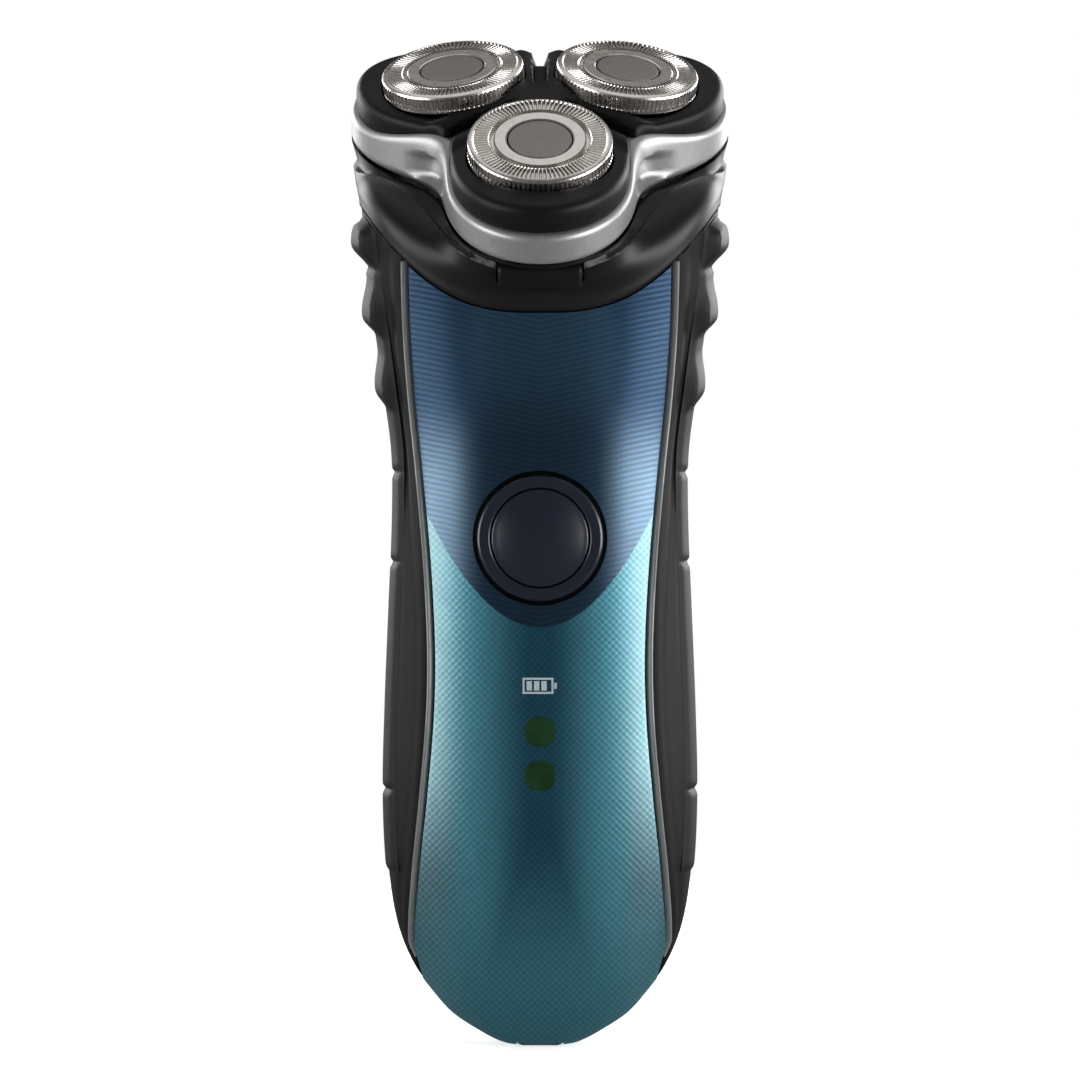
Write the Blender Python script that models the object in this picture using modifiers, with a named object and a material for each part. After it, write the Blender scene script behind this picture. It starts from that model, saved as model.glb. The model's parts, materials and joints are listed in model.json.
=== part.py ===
"""Rotary electric shaver: a ribbed handle, a hinged unit with three floating shaving heads,
the drive train and battery inside, and a pop-up trimmer at the back.

The frame is +Z up along the handle with the front facing -Y.  The sizes below are
millimetres, and the helpers turn them into metres."""

import math

import bmesh
import bpy
from mathutils import Matrix, Vector

MM = 0.001
GAP = 0.3                     # clearance between neighbouring pieces
SEAM = 0.45                   # clearance beside the curved rails
WALL = 1.8                    # shell thickness
AXIS_Y = 2.9                  # the handle's centre line behind the middle of the whole depth

# Handle outer form: height, half width, depth in front of and behind the centre line.
HANDLE_SECTIONS = (
    (0.0, 3.0, 2.4, 5.5), (2.0, 8.9, 6.6, 10.4), (5.0, 13.4, 9.6, 12.8),
    (8.0, 16.1, 11.5, 14.2), (12.0, 19.0, 13.0, 15.3), (18.0, 21.5, 14.4, 16.3),
    (26.0, 22.9, 15.4, 17.0), (38.0, 23.5, 16.0, 17.0), (52.0, 23.2, 16.2, 16.4),
    (67.0, 22.6, 16.2, 15.9), (80.0, 22.1, 16.4, 16.4), (90.0, 22.2, 16.9, 18.2),
    (100.0, 23.5, 17.8, 21.0), (110.0, 24.9, 19.5, 23.6), (120.0, 26.4, 22.0, 24.2),
    (130.0, 27.4, 25.0, 22.5),
)
SECTION_POWER = 0.85          # superellipse power: 1 is an ellipse, smaller is squarer

# The rail beside the front panel: height and distance from the middle plane.
RAIL_LINE = (
    (12.0, 18.4), (16.0, 19.4), (26.0, 18.9), (38.0, 17.7), (50.0, 16.7), (60.0, 16.5),
    (73.0, 17.1), (87.0, 18.3), (99.0, 19.5), (110.0, 20.2), (125.0, 20.4),
)
RAIL_HALF = 0.45
RAIL_FOOT = 13.6              # height of the rail's lower end
WRAP_TOP, WRAP_FOOT = 12.0, 9.0    # heights between which the panel's edge turns to the side
PANEL_WRAP = math.radians(92)      # the panel's edge angle where it wraps the bottom end

COLLAR_LOW = 110.3            # height of the collar's edge at the front and back
COLLAR_RISE = 16.6            # how much higher that edge is at the sides

GRIP_FRONT = math.radians(66)
GRIP_BACK = math.radians(128)
GRIP_FOOT, GRIP_HEAD = 26.5, 125.4
GRIP_DEPTH = 1.2              # the grip pad's pocket in the rear housing
RIBS = ((99.7, 1.2), (110.8, 1.6), (121.7, 1.7))     # height and how proud each rib stands
RIB_HALF = 2.8

# Head: a tilted plane with three heads on a circle.  Its own axes are u right,
# v backward and up, n out of the plane.
HEAD_TILT = math.radians(32)
HEAD_CENTRE = Vector((0.0, -1.5 + AXIS_Y, 133.4))
HEAD_CIRCLE = 15.4
HEAD_SPLAY = math.radians(7.5)
HEADS = (("front", 0.0), ("right", math.radians(120)), ("left", math.radians(240)))
OUTLINE_MEAN, OUTLINE_LOBE = 25.0, 6.6
OUTLINE_REAR = 4.2            # the outline is fuller at the rear, over the hinge
GUARD_RADIUS = 10.8
GUARD_TOP = 12.5
BAND_HEIGHT = 4.8
HOLDER_CROWN = 13.0           # height of the holder's roof at its centre
HOLDER_SLOPE = 0.132          # fall of the roof per millimetre outward
HOLDER_VALLEY = 2.4           # how deep the roof dips between two heads
HINGE_V, HINGE_N = 24.6, -1.4

SPINDLE_CIRCLE = 14.5
PINION_TEETH, GEAR_TEETH = 12, 24
MODULE = 2 * SPINDLE_CIRCLE / (PINION_TEETH + GEAR_TEETH)
GEAR_LEVEL = -5.8             # middle of the gears along n
GEAR_THICKNESS = 2.2

BUTTON_HEIGHT = 76.8
BUTTON_RADIUS = 7.3
RING_RADIUS = 9.4
LED_HEIGHTS = (41.4, 48.0)

BOARD_Y = -4.4                # the circuit board's middle plane, behind the button
BOARD_SCREWS = (8.0, 88.0)    # distance from the middle plane, and height
CELL_RADIUS, CELL_LENGTH = 7.0, 50.8
CELL_FOOT = 16.4
INLET_Y = AXIS_Y + 1.1        # middle of the charging inlet on the bottom end
PIN_HALF_PITCH = 1.7

TRIMMER_HINGE = Vector((0.0, AXIS_Y + 20.9, 120.5))
TRIMMER_LEAN = math.radians(11)
TRIMMER_HALF = 11.0           # half the trimmer's width
SLIDER_HEIGHT = 102.5
SLIDER_LEAN = math.radians(-14.5)
RELEASE_V, RELEASE_N = -29.9, -2.6

parts = None
cutters = None


# ---- scene and material helpers ----

def clear_scene():
    for item in list(bpy.data.objects):
        bpy.data.objects.remove(item, do_unlink=True)


def make_collection(name):
    collection = bpy.data.collections.new(name)
    bpy.context.scene.collection.children.link(collection)
    return collection


def material(name, colour, roughness, metallic=0.0):
    found = bpy.data.materials.get(name)
    if found:
        return found
    made = bpy.data.materials.new(name)
    made.use_nodes = True
    shader = made.node_tree.nodes["Principled BSDF"]
    shader.inputs["Base Color"].default_value = (*colour, 1.0)
    shader.inputs["Roughness"].default_value = roughness
    shader.inputs["Metallic"].default_value = metallic
    return made


def blue_lacquer():
    return material("blue_lacquer", (0.05, 0.19, 0.26), 0.25, 0.6)


def black_gloss():
    return material("black_gloss", (0.012, 0.012, 0.013), 0.12)


def black_plastic():
    return material("black_plastic", (0.03, 0.03, 0.032), 0.45)


def black_rubber():
    return material("black_rubber", (0.02, 0.02, 0.021), 0.75)


def grey_trim():
    return material("grey_trim", (0.12, 0.13, 0.13), 0.4)


def silver_paint():
    return material("silver_paint", (0.55, 0.55, 0.56), 0.32, 0.8)


def steel():
    return material("steel", (0.6, 0.59, 0.57), 0.25, 1.0)


def white_nylon():
    return material("white_nylon", (0.75, 0.74, 0.7), 0.5)


def finish(item, finish_material, smooth=35):
    """Put an object in the parts collection with its material and shading."""
    for collection in list(item.users_collection):
        collection.objects.unlink(item)
    parts.objects.link(item)
    item.data.materials.clear()
    item.data.materials.append(finish_material)
    if item.type == "MESH" and smooth:
        item.data.shade_smooth()
        item.data.set_sharp_from_angle(angle=math.radians(smooth))
    return item


def as_cutter(item):
    for collection in list(item.users_collection):
        collection.objects.unlink(item)
    cutters.objects.link(item)
    item.hide_render = True
    item.display_type = "WIRE"
    return item


def cut(item, *tools, operation="DIFFERENCE"):
    for tool in tools:
        step = item.modifiers.new(operation.lower(), "BOOLEAN")
        step.operation = operation
        step.object = as_cutter(tool)
        step.solver = "EXACT"
    return item


def place(item, parent=None, spot=(0, 0, 0), turn=(0, 0, 0)):
    item.parent = parent
    item.location = Vector(spot) * MM
    item.rotation_euler = turn
    return item


def frame_empty(name, parent, spot, turn):
    empty = bpy.data.objects.new(name, None)
    bpy.context.scene.collection.objects.link(empty)
    return place(empty, parent, spot, turn)


def mesh_object(name, shape):
    data = bpy.data.meshes.new(name)
    shape.to_mesh(data)
    shape.free()
    item = bpy.data.objects.new(name, data)
    bpy.context.scene.collection.objects.link(item)
    return item


# ---- shape helpers ----

def box(name, size, bevel=0.0, offset=(0, 0, 0)):
    """A box whose own origin is offset from its middle."""
    shape = bmesh.new()
    scale = Matrix.Diagonal((*(Vector(size) * MM), 1.0))
    bmesh.ops.create_cube(shape, size=1.0, matrix=Matrix.Translation(Vector(offset) * MM) @ scale)
    item = mesh_object(name, shape)
    if bevel:
        edge = item.modifiers.new("rounded_edges", "BEVEL")
        edge.width = bevel * MM
        edge.segments = 2
    return item


def rod(name, radius, low, high, sides=20):
    """A cylinder along its own Z, from low to high."""
    shape = bmesh.new()
    bmesh.ops.create_cone(
        shape, cap_ends=True, segments=sides, radius1=radius * MM,
        radius2=radius * MM, depth=(high - low) * MM,
        matrix=Matrix.Translation((0, 0, (high + low) / 2 * MM)))
    return mesh_object(name, shape)


def turned(name, profile, steps=32, ring=True):
    """Turn a profile of (radius, height) points round Z.  A ring's profile is a closed
    loop; any other starts and ends on the axis."""
    shape = bmesh.new()
    points = [shape.verts.new((radius * MM, 0, height * MM)) for radius, height in profile]
    pairs = zip(points, points[1:] + points[:1]) if ring else zip(points, points[1:])
    for first, second in pairs:
        shape.edges.new((first, second))
    item = mesh_object(name, shape)
    screw = item.modifiers.new("turn", "SCREW")
    screw.steps = steps
    screw.render_steps = steps
    screw.use_merge_vertices = True
    screw.merge_threshold = 0.00001
    return item


def prism(name, outline, low, high):
    """A flat outline of (x, y) points, thick from low to high along its own Z."""
    curve = bpy.data.curves.new(name, "CURVE")
    curve.dimensions = "2D"
    curve.fill_mode = "BOTH"
    curve.extrude = (high - low) / 2 * MM
    curve.resolution_u = 1
    spline = curve.splines.new("POLY")
    spline.points.add(len(outline) - 1)
    for point, (x, y) in zip(spline.points, outline):
        point.co = (x * MM, y * MM, 0, 1)
    spline.use_cyclic_u = True
    item = bpy.data.objects.new(name, curve)
    bpy.context.scene.collection.objects.link(item)
    return curve_to_mesh(item, Matrix.Translation((0, 0, (high + low) / 2 * MM)))


def tube(name, points, radius, resolution=1):
    """A round wire through the given points."""
    curve = bpy.data.curves.new(name, "CURVE")
    curve.dimensions = "3D"
    curve.bevel_depth = radius * MM
    curve.bevel_resolution = resolution
    curve.use_fill_caps = True
    curve.resolution_u = 1
    spline = curve.splines.new("POLY")
    spline.points.add(len(points) - 1)
    for point, spot in zip(spline.points, points):
        point.co = (*(Vector(spot) * MM), 1)
    item = bpy.data.objects.new(name, curve)
    bpy.context.scene.collection.objects.link(item)
    return item


def curve_to_mesh(item, move=Matrix.Identity(4)):
    """Replace a curve object by its mesh, with its loose caps welded."""
    name = item.name
    bpy.context.view_layer.update()
    evaluated = item.evaluated_get(bpy.context.evaluated_depsgraph_get())
    shape = bmesh.new()
    shape.from_mesh(bpy.data.meshes.new_from_object(evaluated))
    bmesh.ops.remove_doubles(shape, verts=shape.verts, dist=0.000001)
    bmesh.ops.transform(shape, matrix=move, verts=shape.verts)
    bmesh.ops.recalc_face_normals(shape, faces=shape.faces)
    bpy.data.objects.remove(item, do_unlink=True)
    return mesh_object(name, shape)


def sheet(name, rows, columns, spot, thickness, closed=False):
    """A curved wall: spot(row, column) gives its outer face for fractions from 0 to 1,
    columns running to the right as seen from outside and rows upward."""
    shape = bmesh.new()
    count = columns if closed else columns + 1
    grid = [[shape.verts.new(spot(row / rows, column / columns) * MM) for column in range(count)]
            for row in range(rows + 1)]
    for low, high in zip(grid, grid[1:]):
        for column in range(columns):
            after = (column + 1) % count
            shape.faces.new((low[column], low[after], high[after], high[column]))
    item = mesh_object(name, shape)
    wall = item.modifiers.new("wall", "SOLIDIFY")
    wall.thickness = thickness * MM
    wall.offset = -1.0
    return item


def layered(name, rings, caps=True):
    """A closed body through rings of points, the lowest first, each ring running
    counterclockwise as seen from above."""
    shape = bmesh.new()
    loops = [[shape.verts.new(Vector(point) * MM) for point in ring] for ring in rings]
    for low, high in zip(loops, loops[1:]):
        for index in range(len(low)):
            after = (index + 1) % len(low)
            shape.faces.new((low[index], low[after], high[after], high[index]))
    if caps:
        shape.faces.new(list(reversed(loops[0])))
        shape.faces.new(loops[-1])
    else:
        for index in range(len(loops[0])):
            after = (index + 1) % len(loops[0])
            shape.faces.new((loops[-1][index], loops[-1][after], loops[0][after], loops[0][index]))
    return mesh_object(name, shape)


def smooth_value(stations, column, position):
    """Read one column of a station table at a position, on a smooth curve.  The table's
    first column is taken by its square root, which keeps the round bottom end round."""
    keys = [math.sqrt(station[0]) for station in stations]
    values = [station[column] for station in stations]
    key = min(max(math.sqrt(max(position, 0.0)), keys[0]), keys[-1])
    index = max(i for i in range(len(keys) - 1) if keys[i] <= key)
    slopes = []
    for i in (index, index + 1):
        before, after = max(i - 1, 0), min(i + 1, len(keys) - 1)
        slopes.append((values[after] - values[before]) / (keys[after] - keys[before]))
    span = keys[index + 1] - keys[index]
    t = (key - keys[index]) / span
    return ((2 * t**3 - 3 * t**2 + 1) * values[index] + (t**3 - 2 * t**2 + t) * span * slopes[0]
            + (3 * t**2 - 2 * t**3) * values[index + 1] + (t**3 - t**2) * span * slopes[1])


def signed_power(value, power):
    return math.copysign(abs(value) ** power, value)


# ---- handle form ----

def handle_skin(height, turn):
    """A point of the handle's outer form: turn 0 faces front and 90 degrees faces +X."""
    half_width = smooth_value(HANDLE_SECTIONS, 1, height)
    depth = smooth_value(HANDLE_SECTIONS, 2 if math.cos(turn) > 0 else 3, height)
    across = half_width * signed_power(math.sin(turn), SECTION_POWER)
    along = -depth * signed_power(math.cos(turn), SECTION_POWER)
    return Vector((across, along + AXIS_Y, height))


def handle_point(height, turn, proud=0.0):
    """A handle point moved outward along the form's normal."""
    step = 0.02
    base = handle_skin(height, turn)
    if not proud:
        return base
    low = max(height - 0.3, 0.05)
    across = handle_skin(height, turn + step) - handle_skin(height, turn - step)
    upward = handle_skin(low + 0.6, turn) - handle_skin(low, turn)
    return base + across.cross(upward).normalized() * proud


def rail_turn(height):
    """The angle at which the rail lies at a height, swinging round to the side below it."""
    at = max(height, WRAP_TOP)
    share = smooth_value(RAIL_LINE, 1, at) / smooth_value(HANDLE_SECTIONS, 1, at)
    angle = math.asin(min(share, 1.0) ** (1 / SECTION_POWER))
    if height >= WRAP_TOP:
        return angle
    wrap = min((WRAP_TOP - height) / (WRAP_TOP - WRAP_FOOT), 1.0)
    return angle + (PANEL_WRAP - angle) * wrap * wrap * (3 - 2 * wrap)


def edge_turn(height, aside):
    """The rail's angle moved outward by a distance along the surface."""
    angle = rail_turn(height)
    reach = (handle_skin(height, angle + 0.01) - handle_skin(height, angle - 0.01)).length
    return angle + aside * 0.02 / max(reach, 0.02)


def collar_edge(turn):
    return COLLAR_LOW + COLLAR_RISE * abs(math.sin(turn)) ** 2.5


def under_collar(turn_at):
    """The height of the collar's edge over an upright line whose angle is turn_at(height)."""
    height = COLLAR_LOW
    for _ in range(6):
        height = collar_edge(turn_at(height)) - GAP
    return height


def handle_strip(name, rows, columns, foot, left, right, thickness, proud=0.0, ease=1.0):
    """A wall on the handle from the foot to the collar, between two edge angles that are
    functions of height."""
    def spot(row, column):
        def turn_at(height):
            return left(height) + (right(height) - left(height)) * column
        top = under_collar(turn_at)
        height = foot + (top - foot) * row ** ease
        return handle_point(height, turn_at(height), proud)
    return sheet(name, rows, columns, spot, thickness)


# ---- handle pieces ----

def front_panel():
    panel = handle_strip(
        "front_panel", 24, 10, 0.0,
        lambda height: -edge_turn(height, -RAIL_HALF - SEAM),
        lambda height: edge_turn(height, -RAIL_HALF - SEAM), WALL, ease=1.25)
    hole = place(rod("panel_hole", RING_RADIUS + 0.65, -8, 8, 36),
                 spot=(0, AXIS_Y - 16, BUTTON_HEIGHT), turn=(math.pi / 2, 0, 0))
    cut(panel, hole, socket_cutter("panel_socket_cut"))
    finish(panel, blue_lacquer())


def rear_housing():
    housing = handle_strip(
        "rear_housing", 22, 22, 0.0,
        lambda height: edge_turn(height, RAIL_HALF + SEAM),
        lambda height: 2 * math.pi - edge_turn(height, RAIL_HALF + SEAM), WALL + 0.6, ease=1.25)
    for side in (1, -1):
        pocket = grip_sheet("grip_pocket", side, GAP, GRIP_DEPTH + 3.0, 3.0, ribbed=False)
        cut(housing, pocket)
    slot = place(box("slider_pocket", (11.6, 4.3, 13.2), offset=(0, 0.85, 0)), slider_frame())
    cut(housing, slot, socket_cutter("housing_socket_cut"))
    finish(housing, black_plastic())


def slider_frame():
    return bpy.data.objects["slider_frame"]


def socket_cutter(name):
    return place(box(name, (7.6, 10.6, 30)), spot=(0, INLET_Y, 0))


def side_rails():
    for side, name in ((1, "side_rail_right"), (-1, "side_rail_left")):
        def edge(aside, side=side):
            return lambda height: side * edge_turn(height, aside)
        near, far = (-RAIL_HALF, RAIL_HALF) if side > 0 else (RAIL_HALF, -RAIL_HALF)
        rail = handle_strip(name, 20, 1, RAIL_FOOT, edge(near), edge(far), WALL, proud=0.25)
        finish(rail, grey_trim())


def rib_height(height):
    """How far the grip's ridges stand proud at a height."""
    proud = 0.0
    for middle, crest in RIBS:
        away = abs(height - middle) / RIB_HALF
        if away < 1:
            proud = max(proud, crest * (1 + math.cos(math.pi * away)) / 2)
    return proud


def grip_sheet(name, side, margin, thickness, proud, ribbed):
    """A patch of the handle's side where the grip lies, larger by a margin."""
    rows = 34 if ribbed else 10
    aside = margin / 22.0
    first, last = GRIP_FRONT - aside, GRIP_BACK + aside
    if side < 0:
        first, last = -last, -first

    def spot(row, column):
        turn = first + (last - first) * column
        top = min(GRIP_HEAD, collar_edge(turn) - 1.0) + margin
        foot = GRIP_FOOT - margin
        height = foot + (top - foot) * row
        edge = min(column, 1 - column) * 4
        swell = rib_height(height) * min(edge, 1.0) if ribbed else 0.0
        return handle_point(height, turn, proud + swell)
    return sheet(name, rows, 4, spot, thickness)


def side_grips():
    for side, name in ((1, "side_grip_right"), (-1, "side_grip_left")):
        grip = grip_sheet(name, side, 0.0, GRIP_DEPTH - GAP, 0.0, ribbed=True)
        finish(grip, black_rubber())


def collar():
    """The neck ring: a straight foot, then a loft to the tilted head outline."""
    rows = 6

    def spot(row, column):
        turn = column * 2 * math.pi
        height = collar_edge(turn) + SEAM
        low = handle_point(height, turn, 0.2)
        upward = (handle_skin(height + 1, turn) - handle_skin(height - 1, turn)).normalized()
        if row == 0:
            return low
        high = to_head_world(*outline_point(turn, 0.0), -0.5)
        low = low + upward * 1.6
        rise = (row - 1 / rows) / (1 - 1 / rows)
        control = low + upward * (high - low).length * 0.45
        return low * (1 - rise)**2 + control * 2 * rise * (1 - rise) + high * rise**2
    ring = sheet("collar", rows, 40, spot, WALL, closed=True)
    frame = head_frame()
    lugs = []
    for side in (1, -1):
        lug = place(rod("collar_lug", 2.0, -1.8, 1.8, 20), frame,
                    (side * 6.7, HINGE_V, HINGE_N), (0, math.pi / 2, 0))
        root = place(box("lug_root", (3.6, 4.4, 2.0)), frame, (side * 6.7, HINGE_V - 2.2, -2.2))
        lugs += [lug, root]
    cut(ring, *lugs, operation="UNION")
    notch = place(rod("hinge_notch", 2.5, -4.9, 4.9, 20), frame, (0, HINGE_V, HINGE_N),
                  (0, math.pi / 2, 0))
    bore = place(rod("hinge_bore", 1.1, -9, 9, 14), frame, (0, HINGE_V, HINGE_N),
                 (0, math.pi / 2, 0))
    above = place(box("above_collar", (90, 90, 30)), frame, (0, 0, 15 - GAP))
    button_gap = place(box("release_gap", (13.0, 9.4, 4.3)), frame,
                       (0, RELEASE_V + 0.3, RELEASE_N))
    trimmer = trimmer_frame()
    bay = place(box("bay_opening", (23.0, 12, 19.2)), trimmer, (0, 1.0, 6.7))
    pin_bore = place(rod("trimmer_bore", 1.0, -13, 13, 14), trimmer, (0, 0, 0),
                     (0, math.pi / 2, 0))
    cut(ring, notch, bore, above, button_gap, bay, pin_bore)
    finish(ring, black_gloss())


def power_controls():
    frame = frame_empty("button_frame", None, (0, AXIS_Y - 16.4, BUTTON_HEIGHT),
                        (math.pi / 2, 0, 0))
    inner = BUTTON_RADIUS + GAP
    ring = turned("button_ring", (
        (inner, -0.3), (8.6, 0.25), (RING_RADIUS, -0.5), (RING_RADIUS, -3.6),
        (11.2, -3.6), (11.2, -4.4), (inner, -4.4)), 28)
    finish(place(ring, frame), blue_black())
    button = turned("power_button", (
        (0, 1.2), (3.2, 0.95), (5.6, 0.2), (BUTTON_RADIUS, -0.9), (BUTTON_RADIUS, -3.0),
        (1.8, -3.0), (1.8, -4.7), (0, -4.7)), 28, ring=False)
    finish(place(button, frame), blue_black())
    switch = turned("tact_switch", (
        (0, -6.1), (1.6, -6.1), (1.6, -6.9), (3.2, -6.9), (3.2, -8.2), (0, -8.2)), 16, ring=False)
    finish(place(switch, frame), black_plastic())


def blue_black():
    return material("blue_black_gloss", (0.012, 0.016, 0.024), 0.2)


def electrics():
    aside, height = BOARD_SCREWS
    board = place(box("circuit_board", (22, 1.2, 72)), spot=(0, BOARD_Y, 56))
    holes = [place(rod("board_hole", 1.3, -3, 3, 12), spot=(side * aside, BOARD_Y, height),
                   turn=(math.pi / 2, 0, 0)) for side in (1, -1)]
    cut(board, *holes)
    finish(board, material("board_green", (0.02, 0.16, 0.07), 0.4), 0)
    for side, name in ((1, "right"), (-1, "left")):
        cell = turned("battery_cell_" + name, (
            (0, CELL_LENGTH), (2.6, CELL_LENGTH), (2.6, CELL_LENGTH - 1.0),
            (CELL_RADIUS - 0.1, CELL_LENGTH - 1.0), (CELL_RADIUS, CELL_LENGTH - 1.6),
            (CELL_RADIUS, 0), (0, 0)), 20, ring=False)
        finish(place(cell, spot=(side * (CELL_RADIUS + 0.4), AXIS_Y + 1.0, CELL_FOOT)),
               material("cell_wrap", (0.08, 0.3, 0.12), 0.35))
        screw = turned("board_screw_" + name, (
            (0, 1.1), (1.5, 1.0), (1.9, 0.3), (0.9, 0.3), (0.9, -7.0), (0, -7.4)), 12, ring=False)
        finish(place(screw, spot=(side * aside, BOARD_Y - 0.6, height),
                     turn=(math.pi / 2, 0, 0)), steel())
    link = place(box("battery_link", (17, 5, 0.2)), spot=(0, AXIS_Y + 1.0, CELL_FOOT - 0.4))
    finish(link, steel(), 0)
    for name, height in zip(("led_lower", "led_upper"), LED_HEIGHTS):
        lens = turned(name, ((0, 4.0), (1.7, 3.7), (2.4, 2.6), (2.4, 0), (0, 0)), 16, ring=False)
        finish(place(lens, spot=(0, BOARD_Y - 0.9, height), turn=(math.pi / 2, 0, 0)),
               material("led_green", (0.02, 0.12, 0.04), 0.2))


def chassis():
    """A tray seen from the side: a back plate with a shelf under and over the cells."""
    back, plate, front = 12.4, 1.2, -2.6
    foot, shelf, head, shelf_top = 14.4, 1.2, 96.0, 68.8
    outline = (
        (back, foot), (back, head), (back - plate, head), (back - plate, shelf_top),
        (front, shelf_top), (front, shelf_top - shelf), (back - plate, shelf_top - shelf),
        (back - plate, foot + shelf), (front, foot + shelf), (front, foot))
    tray = prism("chassis", outline, -12.4, 12.4)
    tray.rotation_euler = (math.pi / 2, 0, math.pi / 2)
    finish(tray, white_nylon(), 0)


def charging_inlet():
    socket = place(box("charging_socket", (7.0, 10.0, 9.0), bevel=0.8, offset=(0, 0, 4.5)),
                   spot=(0, INLET_Y, 0))
    recess = place(box("socket_recess", (4.6, 6.4, 14.0)), spot=(0, INLET_Y + 1.2, 0))
    cut(socket, recess)
    finish(socket, black_plastic(), 0)
    for name, side in (("socket_pin_front", -1), ("socket_pin_rear", 1)):
        pin = rod(name, 0.75, 1.2, 6.7, 12)
        finish(place(pin, spot=(0, INLET_Y + 1.2 + side * PIN_HALF_PITCH, 0)), steel())


# ---- drive train ----

def head_frame():
    return bpy.data.objects["head_frame"]


def to_head_world(across, along, height):
    turn = Matrix.Rotation(HEAD_TILT, 3, "X")
    return HEAD_CENTRE + turn @ Vector((across, along, height))


def outline_radius(turn):
    rear = max(-math.cos(turn), 0.0) ** 8
    return OUTLINE_MEAN + OUTLINE_LOBE * math.cos(3 * turn) + OUTLINE_REAR * rear


def outline_point(turn, inset):
    """A point of the head's three-lobed outline, with its lobes at the three heads."""
    radius = outline_radius(turn) - inset
    return radius * math.sin(turn), -radius * math.cos(turn)


def outline_ring(height, inset, count=40):
    ring = []
    for index in range(count):
        across, along = outline_point(2 * math.pi * index / count, inset)
        ring.append((across, along, height))
    return ring


def gear_outline(teeth, phase):
    """Straight-sided teeth, narrow enough to mesh with some backlash."""
    pitch = MODULE * teeth / 2
    step = 2 * math.pi / teeth
    points = []
    for tooth in range(teeth):
        middle = tooth * step + phase
        for radius, share in ((pitch - 0.95 * MODULE, -0.31), (pitch + 0.7 * MODULE, -0.11),
                              (pitch + 0.7 * MODULE, 0.11), (pitch - 0.95 * MODULE, 0.31)):
            angle = middle + share * step
            points.append((radius * math.cos(angle), radius * math.sin(angle)))
    return points


def drive_train():
    frame = head_frame()
    low, high = GEAR_LEVEL - GEAR_THICKNESS / 2, GEAR_LEVEL + GEAR_THICKNESS / 2
    toward_front = -math.pi / 2
    pinion = prism("motor_pinion", gear_outline(PINION_TEETH, toward_front), low, high)
    cut(pinion, place(rod("pinion_shaft", 0.9, -8.1, low + 0.4, 12), frame), operation="UNION")
    finish(place(pinion, frame), steel())
    for name, turn in HEADS:
        spot = (SPINDLE_CIRCLE * math.sin(turn), -SPINDLE_CIRCLE * math.cos(turn), 0)
        facing = math.atan2(-spot[1], -spot[0])
        phase = facing + math.pi / GEAR_TEETH
        gear = prism("drive_gear_" + name, gear_outline(GEAR_TEETH, phase), low, high)
        stem = turned("stem_" + name, (
            (0, 8.9), (1.1, 8.9), (1.1, 5.0), (1.6, 4.4), (1.6, low - 0.3), (0, low - 0.3)),
            16, ring=False)
        cut(gear, place(stem, frame, spot), operation="UNION")
        finish(place(gear, frame, spot), white_nylon())
        seal = turned("spindle_seal_" + name, (
            (2.4, -0.3), (2.9, -0.6), (2.9, -1.0), (1.9, -1.0), (1.9, -0.5)), 16)
        finish(place(seal, frame, spot), black_rubber())
    motor = place(box("motor_case", (20.1, 15.1, 20.5), bevel=3.0), frame, (0, 0, -18.7))
    finish(motor, steel())
    plates()


def spindle_holes(name, radius, low, high):
    frame = head_frame()
    holes = []
    for _, turn in HEADS:
        spot = (SPINDLE_CIRCLE * math.sin(turn), -SPINDLE_CIRCLE * math.cos(turn), 0)
        holes.append(place(rod(name, radius, low, high, 16), frame, spot))
    return holes


def plates():
    frame = head_frame()
    plate = layered("gear_plate", (outline_ring(-4.3, 6.2), outline_ring(-3.0, 6.2)))
    cut(plate, *spindle_holes("plate_hole", 2.2, -6, -1))
    finish(place(plate, frame), white_nylon())
    mount = rod("motor_plate", 12.0, -8.1, -7.4, 28)
    cut(mount, place(rod("shaft_hole", 1.5, -9, -6, 12), frame))
    finish(place(mount, frame), steel())
    chamber = layered("hair_chamber", (
        outline_ring(-2.6, 5.4), outline_ring(-0.6, 4.4),
        outline_ring(-0.6, 5.6), outline_ring(-1.4, 6.4)))
    cut(chamber, *spindle_holes("chamber_hole", 2.2, -4, 1))
    finish(place(chamber, frame), black_plastic())


# ---- shaving unit ----

def roof_height(radius, turn):
    valley = HOLDER_VALLEY * (1 - math.cos(3 * turn)) / 2 * radius / OUTLINE_MEAN
    return HOLDER_CROWN - HOLDER_SLOPE * radius - valley


def roof_ring(scale, drop, count=40):
    ring = []
    for index in range(count):
        turn = 2 * math.pi * index / count
        across, along = outline_point(turn, 0.0)
        height = roof_height(scale * outline_radius(turn), turn) - drop
        ring.append((across * scale, along * scale, height))
    return ring


def guard_frame(name, turn):
    """The axes of one head: its own Z leans outward from the head plane's normal."""
    spot = (HEAD_CIRCLE * math.sin(turn), -HEAD_CIRCLE * math.cos(turn), GUARD_TOP)
    empty = frame_empty("guard_frame_" + name, head_frame(), spot, (0, 0, 0))
    empty.rotation_euler = (Matrix.Rotation(turn, 3, "Z")
                            @ Matrix.Rotation(HEAD_SPLAY, 3, "X")).to_euler()
    return empty


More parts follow.
